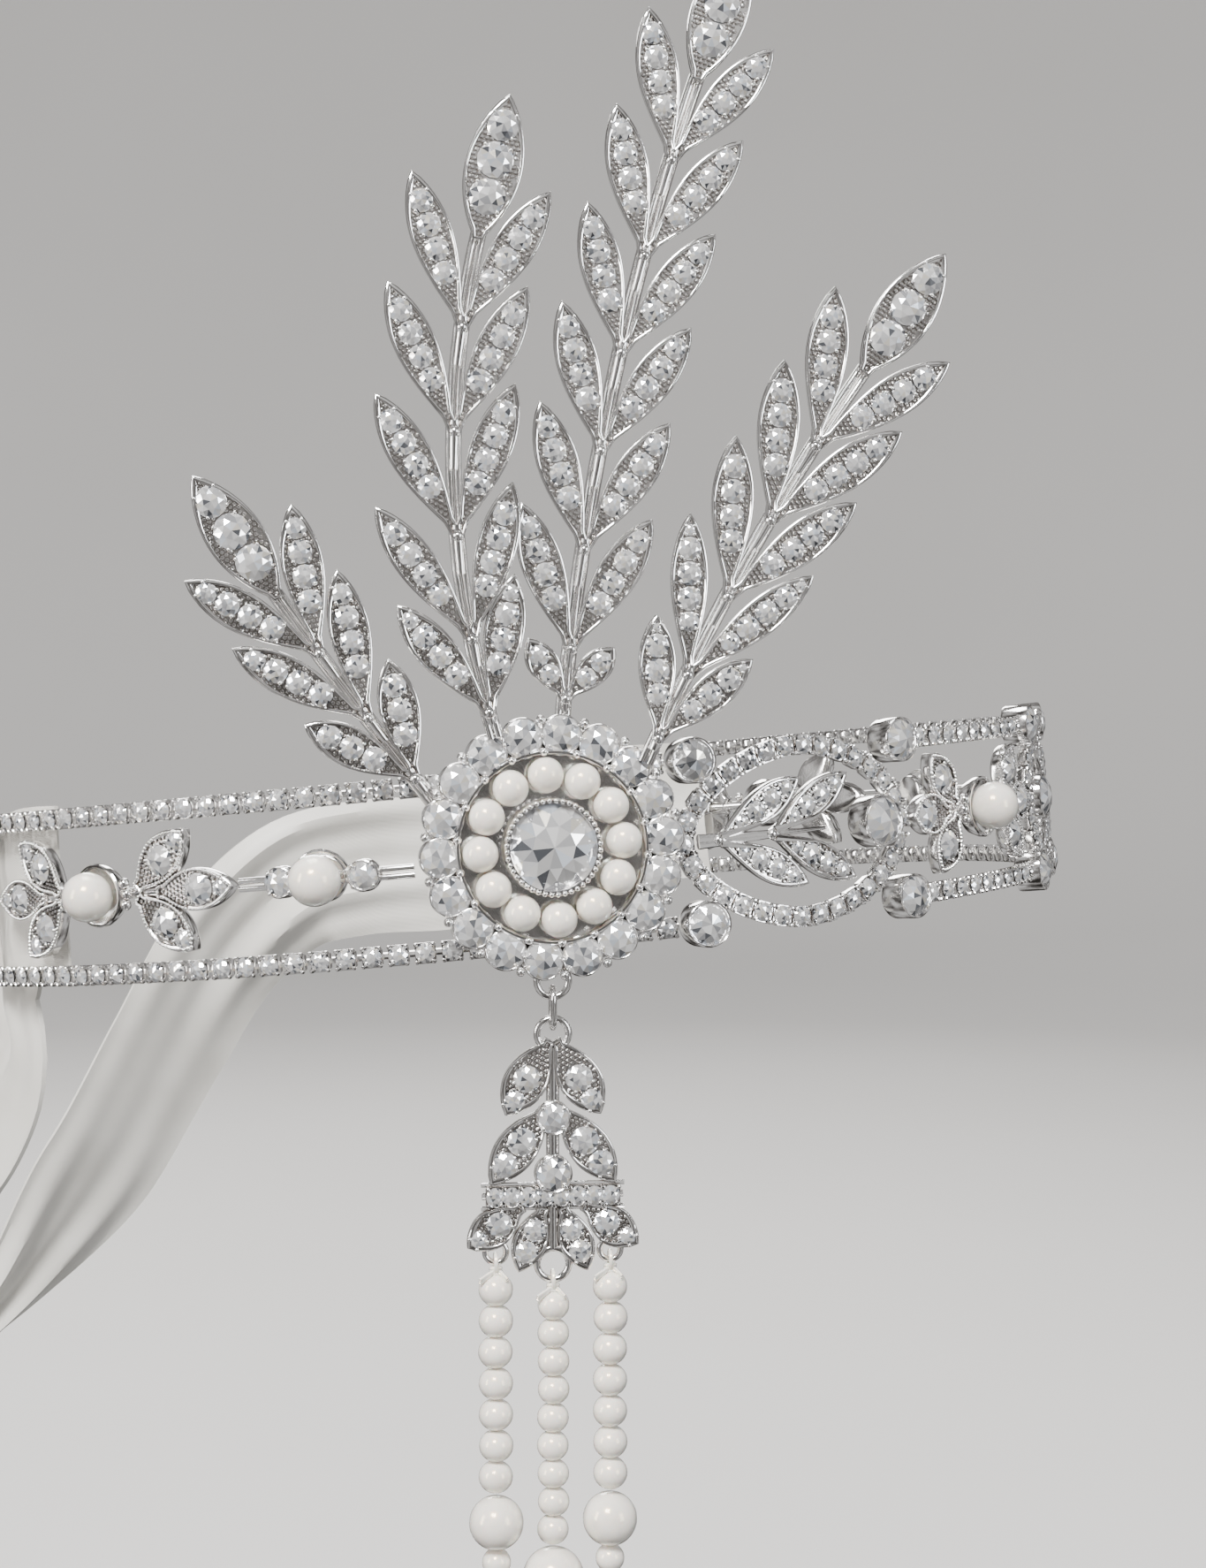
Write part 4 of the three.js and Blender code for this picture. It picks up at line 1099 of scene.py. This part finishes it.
# ---- the studio ----
def add_camera():
    """The photograph's view, from the wearer's right and a little above."""
    camera = bpy.data.objects.new("camera", bpy.data.cameras.new("camera"))
    bpy.context.scene.collection.objects.link(camera)
    place = Vector((-0.3236, -0.2407, 0.0411))
    heading = math.atan2(-place.y, -place.x) - math.radians(2.1)
    pitch = -math.radians(4.7)
    forward = Vector((math.cos(heading) * math.cos(pitch), math.sin(heading) * math.cos(pitch),
                      math.sin(pitch)))
    camera.location = place
    camera.rotation_euler = forward.to_track_quat("-Z", "Y").to_euler()
    camera.data.sensor_width = 36
    camera.data.lens = 67
    camera.data.clip_start = 0.01
    bpy.context.scene.camera = camera


def add_floor():
    """A pale floor that curves up into a backdrop on every side."""
    floor = Build()
    low = -270  # clear below the ribbons' tails
    profile = [(20, low), (800, low), (1500, low)]
    profile += [(1500 + 700 * math.sin(a), low + 700 * (1 - math.cos(a)))
                for a in (math.radians(10 * i) for i in range(1, 10))]
    profile += [(2200, 2200)]
    rings = [circle(radius, z, 96) for radius, z in profile]
    points, faces = loft(rings, cap_end=False)
    mesh = bpy.data.meshes.new("floor")
    mesh.from_pydata([point * MM for point in points], [], [face[::-1] for face in faces])
    mesh.polygons.foreach_set("use_smooth", [True] * len(mesh.polygons))
    material, tree, shader = new_material("floor")
    colour = link_ramp(tree, link_noise(tree, 3), [(0.3, (0.70, 0.69, 0.68)), (0.7, (0.73, 0.72, 0.71))])
    tree.links.new(colour, shader.inputs["Base Color"])
    shader.inputs["Roughness"].default_value = 0.9
    mesh.materials.append(material)
    item = bpy.data.objects.new("floor", mesh)
    bpy.context.scene.collection.objects.link(item)
    item.visible_glossy = False
    item.visible_diffuse = False


def add_light(name, place, size, power, colour):
    light = bpy.data.lights.new(name, "AREA")
    light.shape = "RECTANGLE"
    light.size, light.size_y = size
    light.energy = power
    light.color = colour
    item = bpy.data.objects.new(name, light)
    bpy.context.scene.collection.objects.link(item)
    item.location = place
    item.rotation_euler = (Vector((0, 0, 0.01)) - Vector(place)).to_track_quat("-Z", "Y").to_euler()


def add_lights():
    add_light("key", (-0.9, -0.35, 0.95), (0.4, 0.34), 42, (1, 0.985, 0.96))
    add_light("fill", (-0.1, -1.2, 0.25), (0.35, 0.6), 7, (0.95, 0.97, 1))
    add_light("side", (-1.1, 0.55, 0.3), (0.25, 0.7), 11, (1, 0.97, 0.94))
    add_light("top", (0.2, 0.3, 1.3), (0.6, 0.6), 14, (1, 1, 1))
    add_light("back", (0.9, 0.8, 0.6), (0.5, 0.5), 9, (1, 0.98, 0.95))
    world = bpy.data.worlds.new("studio")
    bpy.context.scene.world = world
    world.use_nodes = True
    tree = world.node_tree
    sky = tree.nodes["Background"]
    coordinates = tree.nodes.new("ShaderNodeTexCoord")
    texture = tree.nodes.new("ShaderNodeTexNoise")
    texture.inputs["Scale"].default_value = 2.6
    tree.links.new(coordinates.outputs["Generated"], texture.inputs["Vector"])
    colour = link_ramp(tree, texture.outputs["Fac"], [
        (0.38, (0.05, 0.046, 0.043)), (0.5, (0.34, 0.325, 0.315)), (0.62, (0.98, 0.97, 0.96))])
    tree.links.new(colour, sky.inputs["Color"])
    sky.inputs["Strength"].default_value = 0.62


add_camera()
add_ribbons()
add_rails()
add_ovals()
add_sprigs()
add_flowers()
add_side_pearls()
add_rosette()
for spray in SPRAYS:
    add_spray(spray)
add_link()
add_tassel_body()
add_strand("rear", **STRAND)
add_strand("middle", **MIDDLE_STRAND)
add_strand("front", **STRAND)
add_floor()
add_lights()
